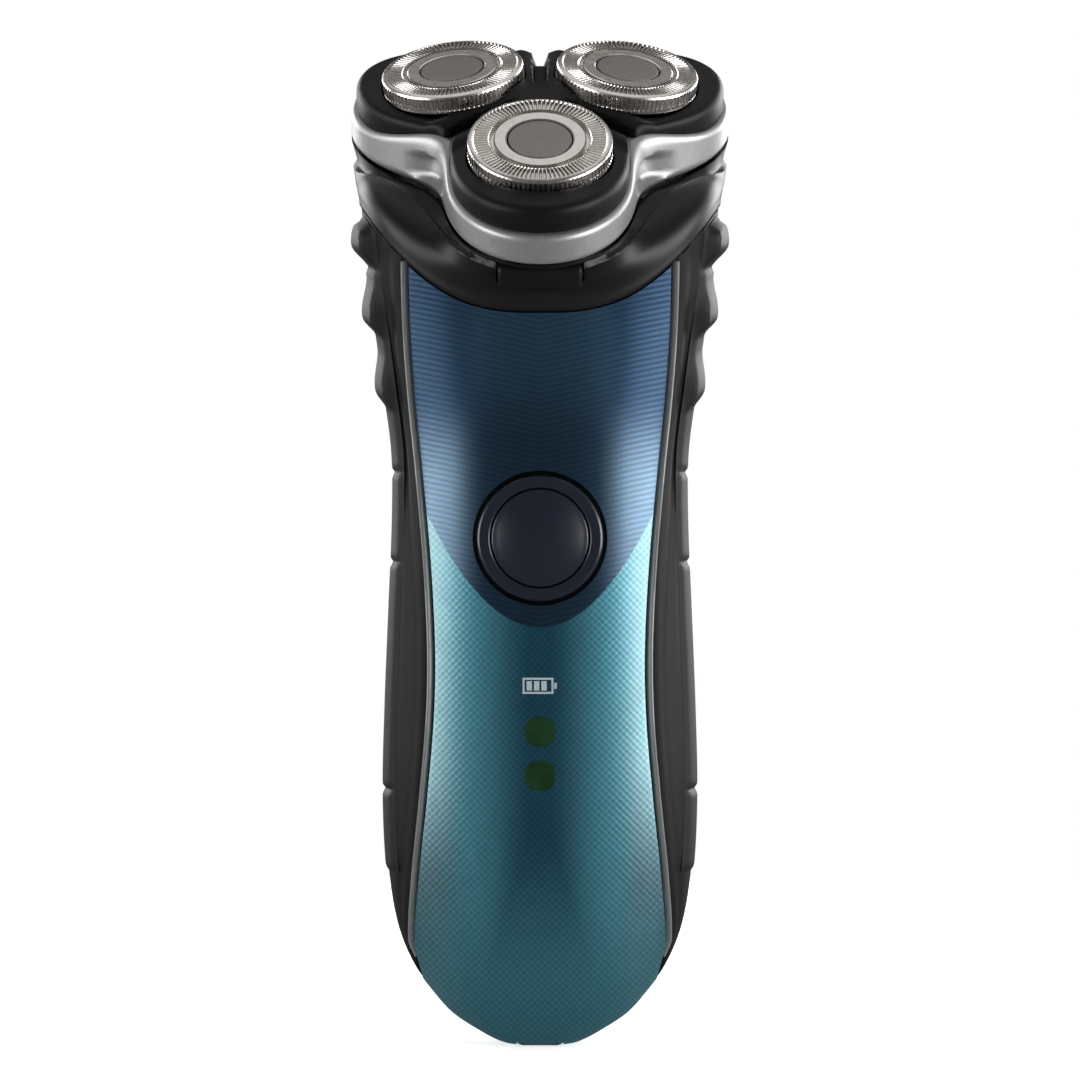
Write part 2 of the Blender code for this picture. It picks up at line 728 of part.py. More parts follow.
def shaving_unit():
    frame = head_frame()
    band = layered("trim_band", (
        outline_ring(0.0, 0.8), outline_ring(0.7, 0.0), outline_ring(3.9, 0.0),
        outline_ring(BAND_HEIGHT, 0.7), outline_ring(BAND_HEIGHT, 1.9),
        outline_ring(0.0, 1.9)), caps=False)
    lug = place(rod("unit_lug", 2.0, -4.5, 4.5, 20), frame, (0, HINGE_V, HINGE_N),
                (0, math.pi / 2, 0))
    web = place(box("unit_web", (8.0, 3.6, 2.2)), frame, (0, 23.0, 1.2))
    bore = place(rod("unit_bore", 1.1, -9, 9, 14), frame, (0, HINGE_V, HINGE_N),
                 (0, math.pi / 2, 0))
    cut(band, lug, web, operation="UNION")
    cut(band, bore)
    finish(place(band, frame), silver_paint())
    holder = layered("head_holder", (
        roof_ring(0.3, 1.5), roof_ring(0.84, 1.5), outline_ring(7.0, 3.6), outline_ring(0.4, 3.6),
        outline_ring(0.4, 2.3), outline_ring(5.1, 2.3), outline_ring(5.1, 0.9),
        outline_ring(7.0, 1.0), roof_ring(0.95, 0.8), roof_ring(0.89, 0.0), roof_ring(0.3, 0.0)))
    for name, turn in HEADS:
        seat = guard_frame(name, turn)
        cut(holder, place(rod("guard_seat_" + name, GUARD_RADIUS + 0.35, -7, 5, 36), seat))
        groove = place(box("groove_" + name, (1.6, 30, 2.4)), frame,
                       (0, 0, HOLDER_CROWN - 1.2), (0, 0, turn))
        offset = Vector((0, 17.0, 0))
        offset.rotate(Matrix.Rotation(turn, 3, "Z"))
        groove.location += offset * MM
        cut(holder, groove)
        head_pieces(name, seat)
    finish(place(holder, frame), black_gloss())
    retainer = layered("retaining_frame", (outline_ring(4.5, 4.4), outline_ring(5.7, 4.4)))
    cut(retainer, *spindle_holes("retainer_hole", 4.4, 3, 8))
    finish(place(retainer, frame), black_plastic())
    wheel = turned("lock_wheel", (
        (0, 4.1), (4.8, 4.1), (5.2, 3.6), (5.2, 2.6), (1.2, 2.6), (1.2, 1.4), (0, 1.4)),
        18, ring=False)
    finish(place(wheel, frame), white_nylon())
    pin = place(rod("hinge_pin", 0.8, -8.4, 8.4, 12), frame, (0, HINGE_V, HINGE_N),
                (0, math.pi / 2, 0))
    finish(pin, steel())


def head_pieces(name, seat):
    guard = turned("guard_" + name, (
        (5.2, 0.0), (6.9, 0.0), (7.1, -0.2), (7.4, 0.0), (10.3, 0.0), (GUARD_RADIUS, -0.4),
        (GUARD_RADIUS, -2.7), (10.3, -2.7), (10.3, -0.5), (5.2, -0.5)), 28)
    finish(place(guard, seat), steel())
    cap = turned("guard_cap_" + name, (
        (0, 0.1), (4.6, 0.1), (4.9, -0.1), (4.9, -0.45), (0, -0.45)), 20, ring=False)
    finish(place(cap, seat), grey_trim())
    cutter = turned("cutter_" + name, (
        (0, -0.8), (3.0, -0.8), (3.2, -1.1), (3.2, -2.1), (9.5, -2.1), (9.5, -2.6), (3.2, -2.6),
        (3.2, -4.4), (2.3, -4.4), (2.3, -1.4), (0, -1.4)), 16, ring=False)
    cut(cutter, place(blade_crown("blades_" + name, 15), seat), operation="UNION")
    finish(place(cutter, seat), steel())


def blade_crown(name, count):
    """Blades standing round the rim of a cutter."""
    shape = bmesh.new()
    size = Matrix.Diagonal((0.8 * MM, 2.6 * MM, 1.5 * MM, 1.0))
    for index in range(count):
        turn = Matrix.Rotation(2 * math.pi * index / count, 4, "Z")
        spot = Matrix.Translation(Vector((0, 8.0, -1.55)) * MM)
        bmesh.ops.create_cube(shape, size=1.0, matrix=turn @ spot @ size)
    return mesh_object(name, shape)


# ---- release button ----

def release_parts():
    frame = head_frame()
    button = place(box("release_button", (12.4, 2.6, 3.7), bevel=0.5), frame,
                   (0, RELEASE_V, RELEASE_N))
    finish(button, black_plastic())
    turns, points_per_turn = 3, 7
    points = []
    for index in range(turns * points_per_turn + 1):
        angle = 2 * math.pi * index / points_per_turn
        along = 0.9 + 1.5 * index / (turns * points_per_turn)
        points.append((0.7 * math.cos(angle), along, 0.7 * math.sin(angle)))
    spring = tube("release_spring", points, 0.15)
    finish(place(spring, frame, (0, RELEASE_V + 1.6, RELEASE_N - 1.0)), steel(), 0)


# ---- rear trimmer ----

def trimmer_frame():
    return bpy.data.objects["trimmer_frame"]


def trimmer_parts():
    frame = trimmer_frame()
    half, depth, crown, steps = TRIMMER_HALF, 1.4, 2.4, 10
    arc = []
    for step in range(steps + 1):
        across = half * (1 - 2 * step / steps)
        arc.append((across, crown - 0.012 * across**2))
    body = prism("trimmer_housing", [(-half, -depth), (half, -depth)] + arc, -0.9, 10.8)
    cut(body, place(rod("trimmer_body_bore", 1.0, -13, 13, 14), frame, (0, 0, 0),
                    (0, math.pi / 2, 0)))
    finish(place(body, frame), black_gloss())
    for name, back, tip in (("trimmer_comb", 0.6, 15.3), ("trimmer_blade", -0.3, 14.9)):
        comb = prism(name, comb_outline(10.2 if back > 0 else 9.2, 11.1, 13.0, tip, 13),
                     -back - 0.6, -back)
        finish(place(comb, frame, turn=(math.pi / 2, 0, 0)), steel(), 0)
    pin = place(rod("trimmer_pin", 0.7, -12.2, 12.2, 12), frame, (0, 0, 0), (0, math.pi / 2, 0))
    finish(pin, steel())
    bay = place(box("trimmer_bay", (24.0, 0.6, 18.2)), frame, (0, -2.3, 6.5))
    finish(bay, black_plastic(), 0)
    slider = box("trimmer_slider", (11.0, 2.0, 7.0), bevel=0.6)
    finish(place(slider, slider_frame(), (0, 0.1, 2.7)), black_rubber())


def comb_outline(half, foot, root, tip, teeth):
    pitch = 2 * half / teeth
    outline = [(-half, foot), (half, foot)]
    for tooth in range(teeth):
        right = half - tooth * pitch
        outline += [(right, root), (right - 0.3 * pitch, tip), (right - 0.6 * pitch, tip),
                    (right - 0.8 * pitch, root)]
    return outline


def motor_leads():
    for name, side in (("motor_lead_red", 1), ("motor_lead_black", -1)):
        x = side * 4.0
        lead = tube(name, ((x, -3.0, 84), (x, -0.5, 90), (x, 6.0, 95), (x, 14.0, 101),
                           (x, 16.6, 105)), 0.5)
        colour = (0.4, 0.02, 0.02) if side > 0 else (0.01, 0.01, 0.01)
        finish(lead, material(name + "_cover", colour, 0.5), 0)


def main():
    global parts, cutters
    clear_scene()
    parts = make_collection("rotary_shaver")
    cutters = make_collection("cutters")
    frame_empty("head_frame", None, HEAD_CENTRE, (HEAD_TILT, 0, 0))
    frame_empty("trimmer_frame", None, TRIMMER_HINGE, (TRIMMER_LEAN, 0, 0))
    frame_empty("slider_frame", None, handle_skin(SLIDER_HEIGHT, math.pi), (SLIDER_LEAN, 0, 0))
    front_panel()
    rear_housing()
    side_rails()
    side_grips()
    collar()
    power_controls()
    electrics()
    chassis()
    charging_inlet()
    drive_train()
    shaving_unit()
    release_parts()
    trimmer_parts()
    motor_leads()


main()
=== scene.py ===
"""Looks of the rotary electric shaver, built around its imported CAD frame.

Lengths are written in millimetres and turned into metres where meshes are made.  The
object's own axes are +Z up along the handle and -Y out of the front panel."""

import json
import math

import bmesh
import bpy
from mathutils import Matrix, Vector


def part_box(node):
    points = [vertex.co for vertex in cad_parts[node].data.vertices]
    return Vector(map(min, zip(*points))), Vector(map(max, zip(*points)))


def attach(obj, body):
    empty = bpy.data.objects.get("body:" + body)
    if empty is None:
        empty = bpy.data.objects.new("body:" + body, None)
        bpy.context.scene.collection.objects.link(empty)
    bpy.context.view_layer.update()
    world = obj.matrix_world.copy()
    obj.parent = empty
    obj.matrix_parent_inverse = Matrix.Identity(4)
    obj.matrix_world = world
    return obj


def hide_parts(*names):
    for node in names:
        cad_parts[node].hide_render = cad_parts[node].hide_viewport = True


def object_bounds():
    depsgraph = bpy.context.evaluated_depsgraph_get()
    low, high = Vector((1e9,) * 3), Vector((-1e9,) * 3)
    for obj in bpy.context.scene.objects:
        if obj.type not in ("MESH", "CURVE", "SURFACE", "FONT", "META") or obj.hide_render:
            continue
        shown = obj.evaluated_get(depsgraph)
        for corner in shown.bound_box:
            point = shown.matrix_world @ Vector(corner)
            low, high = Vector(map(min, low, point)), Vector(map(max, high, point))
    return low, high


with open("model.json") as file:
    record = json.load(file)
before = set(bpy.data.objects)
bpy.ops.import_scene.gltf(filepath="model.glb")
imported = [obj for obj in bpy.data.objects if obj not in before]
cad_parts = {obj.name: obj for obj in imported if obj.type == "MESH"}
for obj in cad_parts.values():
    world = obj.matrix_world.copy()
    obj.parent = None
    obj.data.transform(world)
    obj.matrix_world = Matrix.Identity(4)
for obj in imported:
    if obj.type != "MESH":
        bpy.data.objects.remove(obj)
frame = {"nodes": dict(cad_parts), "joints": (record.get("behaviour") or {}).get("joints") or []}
CAD_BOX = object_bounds()

MM = 0.001
JOINTS = {joint["name"]: joint for joint in frame["joints"]}

# ---- the handle's form, as in the CAD model ----

AXIS_Y = 2.9
HANDLE_SECTIONS = (
    # height, half width, depth in front of and behind the centre line
    (0.0, 3.0, 2.4, 5.5), (2.0, 8.9, 6.6, 10.4), (5.0, 13.4, 9.6, 12.8),
    (8.0, 16.1, 11.5, 14.2), (12.0, 19.0, 13.0, 15.3), (18.0, 21.5, 14.4, 16.3),
    (26.0, 22.9, 15.4, 17.0), (38.0, 23.5, 16.0, 17.0), (52.0, 23.2, 16.2, 16.4),
    (67.0, 22.6, 16.2, 15.9), (80.0, 22.1, 16.4, 16.4), (90.0, 22.2, 16.9, 18.2),
    (100.0, 23.5, 17.8, 21.0), (110.0, 24.9, 19.5, 23.6), (120.0, 26.4, 22.0, 24.2),
    (130.0, 27.4, 25.0, 22.5),
)
SECTION_POWER = 0.85
RAIL_LINE = (
    (12.0, 18.4), (16.0, 19.4), (26.0, 18.9), (38.0, 17.7), (50.0, 16.7), (60.0, 16.5),
    (73.0, 17.1), (87.0, 18.3), (99.0, 19.5), (110.0, 20.2), (125.0, 20.4),
)
RAIL_HALF = 0.45
RAIL_FOOT = 13.6
WRAP_TOP, WRAP_FOOT = 12.0, 9.0
PANEL_WRAP = math.radians(92)
SEAM = 0.25                   # gap between the rail and the pieces beside it
COLLAR_LOW, COLLAR_RISE = 110.3, 16.6
COLLAR_GAP = 0.1              # gap between the collar's edge and the skins below it
GRIP_FRONT, GRIP_BACK = math.radians(66), math.radians(128)
GRIP_FOOT, GRIP_HEAD = 26.5, 125.4
GRIP_PROUD = 0.4
GRIP_NOTCHES = (38.9, 73.2, 86.8)
RIBS = ((99.7, 1.2), (110.8, 1.6), (121.7, 1.7))     # height and how proud each rib stands

# ---- the head's form ----

HEAD_TILT = math.radians(32)
HEAD_CENTRE = Vector(JOINTS["lock_turn"]["pos_m"]) / MM
HEAD_CIRCLE = 15.4
HEAD_SPLAY = math.radians(7.5)
HEADS = (("front", 0.0), ("right", math.radians(120)), ("left", math.radians(240)))
OUTLINE_MEAN, OUTLINE_LOBE, OUTLINE_REAR = 25.0, 6.6, 4.2
GUARD_RADIUS, GUARD_TOP = 10.8, 12.5
BAND_HEIGHT = 4.8
HOLDER_CROWN, HOLDER_SLOPE, HOLDER_VALLEY = 13.0, 0.132, 2.4
HINGE = Vector(JOINTS["unit_hinge"]["pos_m"]) / MM

BUTTON_HEIGHT, BUTTON_RADIUS, RING_RADIUS = 76.8, 7.3, 9.4
LED_HEIGHTS, LED_RADIUS = (41.4, 48.0), 2.6
SIGN_HEIGHT = 54.8            # middle of the battery sign above the indicator windows
SOCKET_GAP = 0.08             # clearance of the opening round the charging socket
SLIDER_SIZE = Vector((11.0, 2.0, 7.0))
SLIDER_LEAN = math.radians(-14.5)
SLIDER_TRAVEL = JOINTS["trimmer_release"]["range_m"][1] / MM
BUTTON_FRAME = (Matrix.Translation(Vector((0, AXIS_Y - 16.4, BUTTON_HEIGHT)) * MM)
                @ Matrix.Rotation(math.pi / 2, 4, "X"))
HEAD_FRAME = Matrix.Translation(HEAD_CENTRE * MM) @ Matrix.Rotation(HEAD_TILT, 4, "X")
HINGE_FRAME = Matrix.Translation(HINGE * MM) @ HEAD_FRAME.to_3x3().to_4x4()
# The pop-up trimmer's axes, from its hinge: its own +Z runs up the closed housing.
TRIMMER_FRAME = (Matrix.Translation(Vector(JOINTS["trimmer_hinge"]["pos_m"]))
                 @ Matrix.Rotation(math.radians(11), 4, "X"))
SIDEWAYS = Matrix.Rotation(math.pi / 2, 4, "Y")      # turns a drum's axis to the side
PIN_FRAME = HINGE_FRAME @ SIDEWAYS
LUG_SPREAD = 6.7              # distance of the hinge lugs from the middle plane
LUG_RADIUS, BORE_RADIUS = 2.0, 0.85
RELEASE_SPOT = (-29.6, -2.6)  # the release opening's place along the head's own axes


# ---- small maths ----

def smooth_value(stations, column, position):
    """Read one column of a station table at a position, on a smooth curve."""
    keys = [math.sqrt(station[0]) for station in stations]
    values = [station[column] for station in stations]
    key = min(max(math.sqrt(max(position, 0.0)), keys[0]), keys[-1])
    index = max(i for i in range(len(keys) - 1) if keys[i] <= key)
    slopes = []
    for i in (index, index + 1):
        before, after = max(i - 1, 0), min(i + 1, len(keys) - 1)
        slopes.append((values[after] - values[before]) / (keys[after] - keys[before]))
    span = keys[index + 1] - keys[index]
    t = (key - keys[index]) / span
    return ((2 * t**3 - 3 * t**2 + 1) * values[index] + (t**3 - 2 * t**2 + t) * span * slopes[0]
            + (3 * t**2 - 2 * t**3) * values[index + 1] + (t**3 - t**2) * span * slopes[1])


def signed_power(value, power):
    """A power of a number's size, with the number's own sign."""
    return math.copysign(abs(value) ** power, value)


def step_up(low, high, value):
    """Rise smoothly from 0 at low to 1 at high."""
    t = min(max((value - low) / (high - low), 0.0), 1.0)
    return t * t * (3 - 2 * t)


def bump(middle, half, value):
    """A smooth hill, 1 at its middle and 0 beyond its half width."""
    away = abs(value - middle) / half
    return (1 + math.cos(math.pi * away)) / 2 if away < 1 else 0.0


def rolled(distance, radius):
    """How far a rounded edge has dropped at a distance from its border."""
    if distance >= radius:
        return 0.0
    return radius - math.sqrt(max(radius**2 - (radius - distance)**2, 0.0))


# ---- handle surface ----

TURN_STEP = 0.02              # a short step round the handle, in radians


def handle_skin(height, turn):
    """A point of the handle's outer form: turn 0 faces front and 90 degrees faces +X."""
    half_width = smooth_value(HANDLE_SECTIONS, 1, height)
    depth = smooth_value(HANDLE_SECTIONS, 2 if math.cos(turn) > 0 else 3, height)
    across = half_width * signed_power(math.sin(turn), SECTION_POWER)
    along = -depth * signed_power(math.cos(turn), SECTION_POWER)
    return Vector((across, along + AXIS_Y, height))


def handle_normal(height, turn):
    """The outward direction, from short steps across and up the skin."""
    low = max(height - 0.3, 0.05)
    across = handle_skin(height, turn + TURN_STEP) - handle_skin(height, turn - TURN_STEP)
    upward = handle_skin(low + 0.6, turn) - handle_skin(low, turn)
    return across.cross(upward).normalized()


def handle_point(height, turn, proud=0.0):
    """A point that stands proud of the handle's outer form, in millimetres."""
    return handle_skin(height, turn) + handle_normal(height, turn) * proud


def rail_turn(height):
    """The turn of the rail's middle line, which wraps to the sides below its foot."""
    at = max(height, WRAP_TOP)
    share = smooth_value(RAIL_LINE, 1, at) / smooth_value(HANDLE_SECTIONS, 1, at)
    angle = math.asin(min(share, 1.0) ** (1 / SECTION_POWER))
    if height >= WRAP_TOP:
        return angle
    return angle + (PANEL_WRAP - angle) * step_up(0, WRAP_TOP - WRAP_FOOT, WRAP_TOP - height)


def edge_turn(height, aside):
    """The turn at a distance to the rear of the rail's middle line."""
    angle = rail_turn(height)
    reach = (handle_skin(height, angle + 0.01) - handle_skin(height, angle - 0.01)).length
    return angle + aside * 0.02 / max(reach, 0.02)


def turn_across(height, across):
    """The turn of the skin's point at a distance to the right of the middle plane."""
    share = across / smooth_value(HANDLE_SECTIONS, 1, height)
    return math.asin(signed_power(share, 1 / SECTION_POWER))


def collar_edge(turn):
    """Height of the collar's lower edge."""
    return COLLAR_LOW + COLLAR_RISE * abs(math.sin(turn)) ** 2.5


def under_collar(turn_at):
    """Height where a line along the handle, given by its turn at a height, meets the collar."""
    height = COLLAR_LOW
    for _ in range(6):
        height = collar_edge(turn_at(height)) - COLLAR_GAP
    return height


# ---- head surface ----

def head_point(across, along, height):
    """A point in the object's axes from one in the tilted head's own."""
    return HEAD_FRAME @ (Vector((across, along, height)) * MM) / MM


def outline_radius(turn):
    """The head's three-lobed outline, fuller at the rear over the hinge."""
    rear = max(-math.cos(turn), 0.0) ** 8
    return OUTLINE_MEAN + OUTLINE_LOBE * math.cos(3 * turn) + OUTLINE_REAR * rear


def polar(radius, turn):
    """A place in the head's plane, with turn 0 to the front."""
    return radius * math.sin(turn), -radius * math.cos(turn)


def outline_point(turn, inset=0.0):
    return polar(outline_radius(turn) - inset, turn)


def roof_height(radius, turn):
    """The head's roof: it falls outward, and dips between two heads."""
    valley = HOLDER_VALLEY * (1 - math.cos(3 * turn)) / 2 * radius / OUTLINE_MEAN
    return HOLDER_CROWN - HOLDER_SLOPE * radius - valley


def guard_matrix(turn):
    """The axes of one guard, splayed outward: its own +Z runs out of its face."""
    spot = Vector((HEAD_CIRCLE * math.sin(turn), -HEAD_CIRCLE * math.cos(turn), GUARD_TOP))
    return (HEAD_FRAME @ Matrix.Translation(spot * MM) @ Matrix.Rotation(turn, 4, "Z")
            @ Matrix.Rotation(HEAD_SPLAY, 4, "X"))


# ---- mesh helpers ----

SHARP_ANGLE = 40
TURNED_STEPS = 96


def shade(mesh, sharp_angle=SHARP_ANGLE):
    """Shade a mesh smooth, with its edges sharper than an angle in degrees left crisp."""
    mesh.shade_smooth()
    mesh.set_sharp_from_angle(angle=math.radians(sharp_angle))


def add_object(name, shape, sharp_angle=SHARP_ANGLE):
    """Turn a bmesh into an object in the scene."""
    data = bpy.data.meshes.new(name)
    shape.to_mesh(data)
    shape.free()
    item = bpy.data.objects.new(name, data)
    bpy.context.scene.collection.objects.link(item)
    shade(data, sharp_angle)
    return item


def grid(name, rows, columns, spot, closed=False):
    """A surface of rows by columns quads through spot(row, column), in millimetres, whose
    columns run to the right and rows upward as seen from outside."""
    shape = bmesh.new()
    count = columns if closed else columns + 1
    points = [[shape.verts.new(Vector(spot(row, column)) * MM) for column in range(count)]
              for row in range(rows + 1)]
    for row in range(rows):
        for column in range(columns):
            after = (column + 1) % count
            shape.faces.new((points[row][column], points[row][after],
                             points[row + 1][after], points[row + 1][column]))
    return add_object(name, shape)


def circle_point(radius, index, steps, height):
    """One point of a level circle, in metres from millimetres."""
    angle = 2 * math.pi * index / steps
    return Vector((radius * math.cos(angle), radius * math.sin(angle), height)) * MM


def lathe(name, profile, matrix, ring=True):
    """Turn a profile of (radius, height) points, listed down its outer side.  A ring's
    profile closes on itself, and a solid's begins and ends on the axis."""
    shape = bmesh.new()
    loops = []
    for radius, height in profile:
        count = TURNED_STEPS if radius > 0 else 1
        loops.append([shape.verts.new(circle_point(radius, i, TURNED_STEPS, height))
                      for i in range(count)])
    pairs = list(zip(loops, loops[1:])) + ([(loops[-1], loops[0])] if ring else [])
    for upper, lower in pairs:
        for i in range(TURNED_STEPS):
            after = (i + 1) % TURNED_STEPS
            corners = [lower[0]] if len(lower) == 1 else [lower[i], lower[after]]
            corners += [upper[0]] if len(upper) == 1 else [upper[after], upper[i]]
            shape.faces.new(corners)
    bmesh.ops.transform(shape, matrix=matrix, verts=shape.verts)
    return add_object(name, shape)


def arc(centre, radius, start, end, steps=6):
    """Points of a round corner in a profile, by angles in degrees."""
    angles = [math.radians(start + (end - start) * i / steps) for i in range(steps + 1)]
    return [(centre[0] + radius * math.cos(angle), centre[1] + radius * math.sin(angle))
            for angle in angles]


def wall(item, thickness):
    """Give a surface a thickness in millimetres, inward from its outer face."""
    step = item.modifiers.new("wall", "SOLIDIFY")
    step.thickness = thickness * MM
    step.offset = -1.0
    apply_modifiers(item)
    return item


def cut(item, cutters, operation="DIFFERENCE"):
    """Cut other pieces from a piece, or join them on, and remove them from the scene."""
    for cutter in cutters:
        step = item.modifiers.new("cut", "BOOLEAN")
        step.operation = operation
        step.object = cutter
        step.solver = "MANIFOLD"
    apply_modifiers(item)
    for cutter in cutters:
        bpy.data.objects.remove(cutter, do_unlink=True)


def round_edges(item, width, angle=SHARP_ANGLE, segments=2):
    """Round a piece's edges that are sharper than an angle in degrees."""
    step = item.modifiers.new("round", "BEVEL")
    step.width = width * MM
    step.segments = segments
    step.limit_method = "ANGLE"
    step.angle_limit = math.radians(angle)
    apply_modifiers(item)
    return item


def apply_modifiers(item):
    """Give a piece the mesh that its modifiers make, and drop the modifiers."""
    bpy.context.view_layer.update()
    evaluated = item.evaluated_get(bpy.context.evaluated_depsgraph_get())
    mesh = bpy.data.meshes.new_from_object(evaluated)
    item.modifiers.clear()
    item.data = mesh
    shade(mesh)


def block(name, size, matrix, offset=(0, 0, 0)):
    """A box of a size in millimetres, centred on an offset in the matrix's own axes."""
    shape = bmesh.new()
    scale = Matrix.Diagonal((*(Vector(size) * MM), 1.0))
    bmesh.ops.create_cube(shape, size=1.0,
                          matrix=matrix @ Matrix.Translation(Vector(offset) * MM) @ scale)
    return add_object(name, shape)


def drum(name, radius, low, high, matrix, steps=TURNED_STEPS):
    """A cylinder along the matrix's own +Z, from one height to another."""
    shape = bmesh.new()
    bmesh.ops.create_cone(shape, cap_ends=True, segments=steps, radius1=radius * MM,
                          radius2=radius * MM, depth=(high - low) * MM,
                          matrix=matrix @ Matrix.Translation((0, 0, (low + high) / 2 * MM)))
    return add_object(name, shape)


def dress(item, look, body, slot, *nodes):
    """Give a piece its material, its body and the CAD nodes that it stands for. The slot is not
    used.
    """
    item.data.materials.clear()
    item.data.materials.append(look)
    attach(item, body)
    if nodes:
        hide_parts(*nodes)


# ---- materials ----

class Look:
    """A small builder for one procedural material."""

    def __init__(self, name, **settings):
        self.material = bpy.data.materials.new(name)
        self.material.use_nodes = True
        self.tree = self.material.node_tree
        self.shader = self.tree.nodes["Principled BSDF"]
        for socket, value in settings.items():
            self.shader.inputs[socket.replace("_", " ")].default_value = value
        coordinates = self.tree.nodes.new("ShaderNodeTexCoord")
        self.place = coordinates.outputs["Object"]

    def node(self, kind, **settings):
        item = self.tree.nodes.new(kind)
        for name, value in settings.items():
            setattr(item, name, value)
        return item

    def feed(self, socket, source):
        """Link a socket, or one of the shader's by name, to an output, or give it a value."""
        if isinstance(socket, str):
            socket = self.shader.inputs[socket]
        if isinstance(source, bpy.types.NodeSocket):
            self.tree.links.new(source, socket)
        else:
            socket.default_value = source

    def math(self, operation, first, second=0.0, third=0.0):
        item = self.node("ShaderNodeMath", operation=operation)
        for socket, source in zip(item.inputs, (first, second, third)):
            self.feed(socket, source)
        return item.outputs[0]

    def times(self, first, second):
        return self.math("MULTIPLY", first, second)

    def rest(self, source):
        return self.math("SUBTRACT", 1.0, source)

    def wave(self, source, pitch):
        """A sine along a length, with its pitch in millimetres."""
        return self.math("SINE", self.times(source, 2 * math.pi / (pitch * MM)))

    def noise(self, scale, detail=2.0, stretch=(1, 1, 1)):
        spread = self.node("ShaderNodeMapping")
        self.feed(spread.inputs["Vector"], self.place)
        self.feed(spread.inputs["Scale"], stretch)
        item = self.node("ShaderNodeTexNoise")
        self.feed(item.inputs["Vector"], spread.outputs[0])
        self.feed(item.inputs["Scale"], scale)
        self.feed(item.inputs["Detail"], detail)
        return item.outputs["Fac"]

    def split(self):
        item = self.node("ShaderNodeSeparateXYZ")
        self.feed(item.inputs[0], self.place)
        return item.outputs

    def rise(self, source, low, high):
        """Rise smoothly from 0 to 1 between two lengths in millimetres."""
        item = self.node("ShaderNodeMapRange", interpolation_type="SMOOTHSTEP")
        self.feed(item.inputs["Value"], source)
        self.feed(item.inputs["From Min"], low * MM)
        self.feed(item.inputs["From Max"], high * MM)
        return item.outputs[0]

    def ramp(self, source, *stops):
        """A colour ramp through (position, colour) stops."""
        item = self.node("ShaderNodeValToRGB")
        self.feed(item.inputs[0], source)
        ramp = item.color_ramp
        while len(ramp.elements) < len(stops):
            ramp.elements.new(0.5)
        for element, (position, colour) in zip(ramp.elements, stops):
            element.position = position
            element.color = (*colour, 1.0)
        return item.outputs["Color"]

    def mix(self, share, first, second, blend="MIX"):
        item = self.node("ShaderNodeMix", data_type="RGBA", blend_type=blend)
        self.feed(item.inputs["Factor"], share)
        for socket, source in ((item.inputs["A"], first), (item.inputs["B"], second)):
            self.feed(socket, (*source, 1.0) if isinstance(source, tuple) else source)
        return item.outputs["Result"]

    def bump(self, height, distance, strength=1.0):
        """Relief of a height from 0 to 1 standing for a distance in millimetres."""
        item = self.node("ShaderNodeBump")
        self.feed(item.inputs["Height"], height)
        self.feed(item.inputs["Distance"], distance * MM)
        self.feed(item.inputs["Strength"], strength)
        self.feed("Normal", item.outputs[0])


MOULD_GRAIN = 2600            # noise scale of the fine texture on moulded plastic


def plastic(name, colour, roughness, grain, coat, shine):
    """Moulded plastic or rubber: a base colour with faint mottling, and grain in its surface."""
    look = Look(name, Coat_Weight=coat, Coat_Roughness=0.2, Specular_IOR_Level=shine)
    drift = look.noise(60, 3)
    darker = tuple(value * 0.85 for value in colour)
    look.feed("Base Color", look.ramp(drift, (0.3, darker), (0.7, colour)))
    look.feed("Roughness", look.math("MULTIPLY_ADD", drift, 0.08, roughness - 0.04))
    look.bump(look.noise(MOULD_GRAIN, 2), grain, 0.5)
    return look.material


def metal(name, colour, roughness, brushing, scale, grain, metallic):
    """Metal or metallic paint, brushed along the axis that is stretched least."""
    look = Look(name, Metallic=metallic)
    grainy = look.noise(scale, 3, brushing)
    darker = tuple(value * 0.82 for value in colour)
    look.feed("Base Color", look.ramp(grainy, (0.25, darker), (0.75, colour)))
    look.feed("Roughness", look.math("MULTIPLY_ADD", grainy, 0.12, roughness - 0.06))
    look.bump(grainy, grain, 0.5)
    return look.material


BORDER_LOW = 63.5             # height of the border between the zones, at the middle
BORDER_CLIMB = 0.059          # how fast it climbs, per square millimetre from the middle
RIB_PITCH, RIB_SLOPE = 0.8, 0.22
WEAVE_PITCH = 1.05


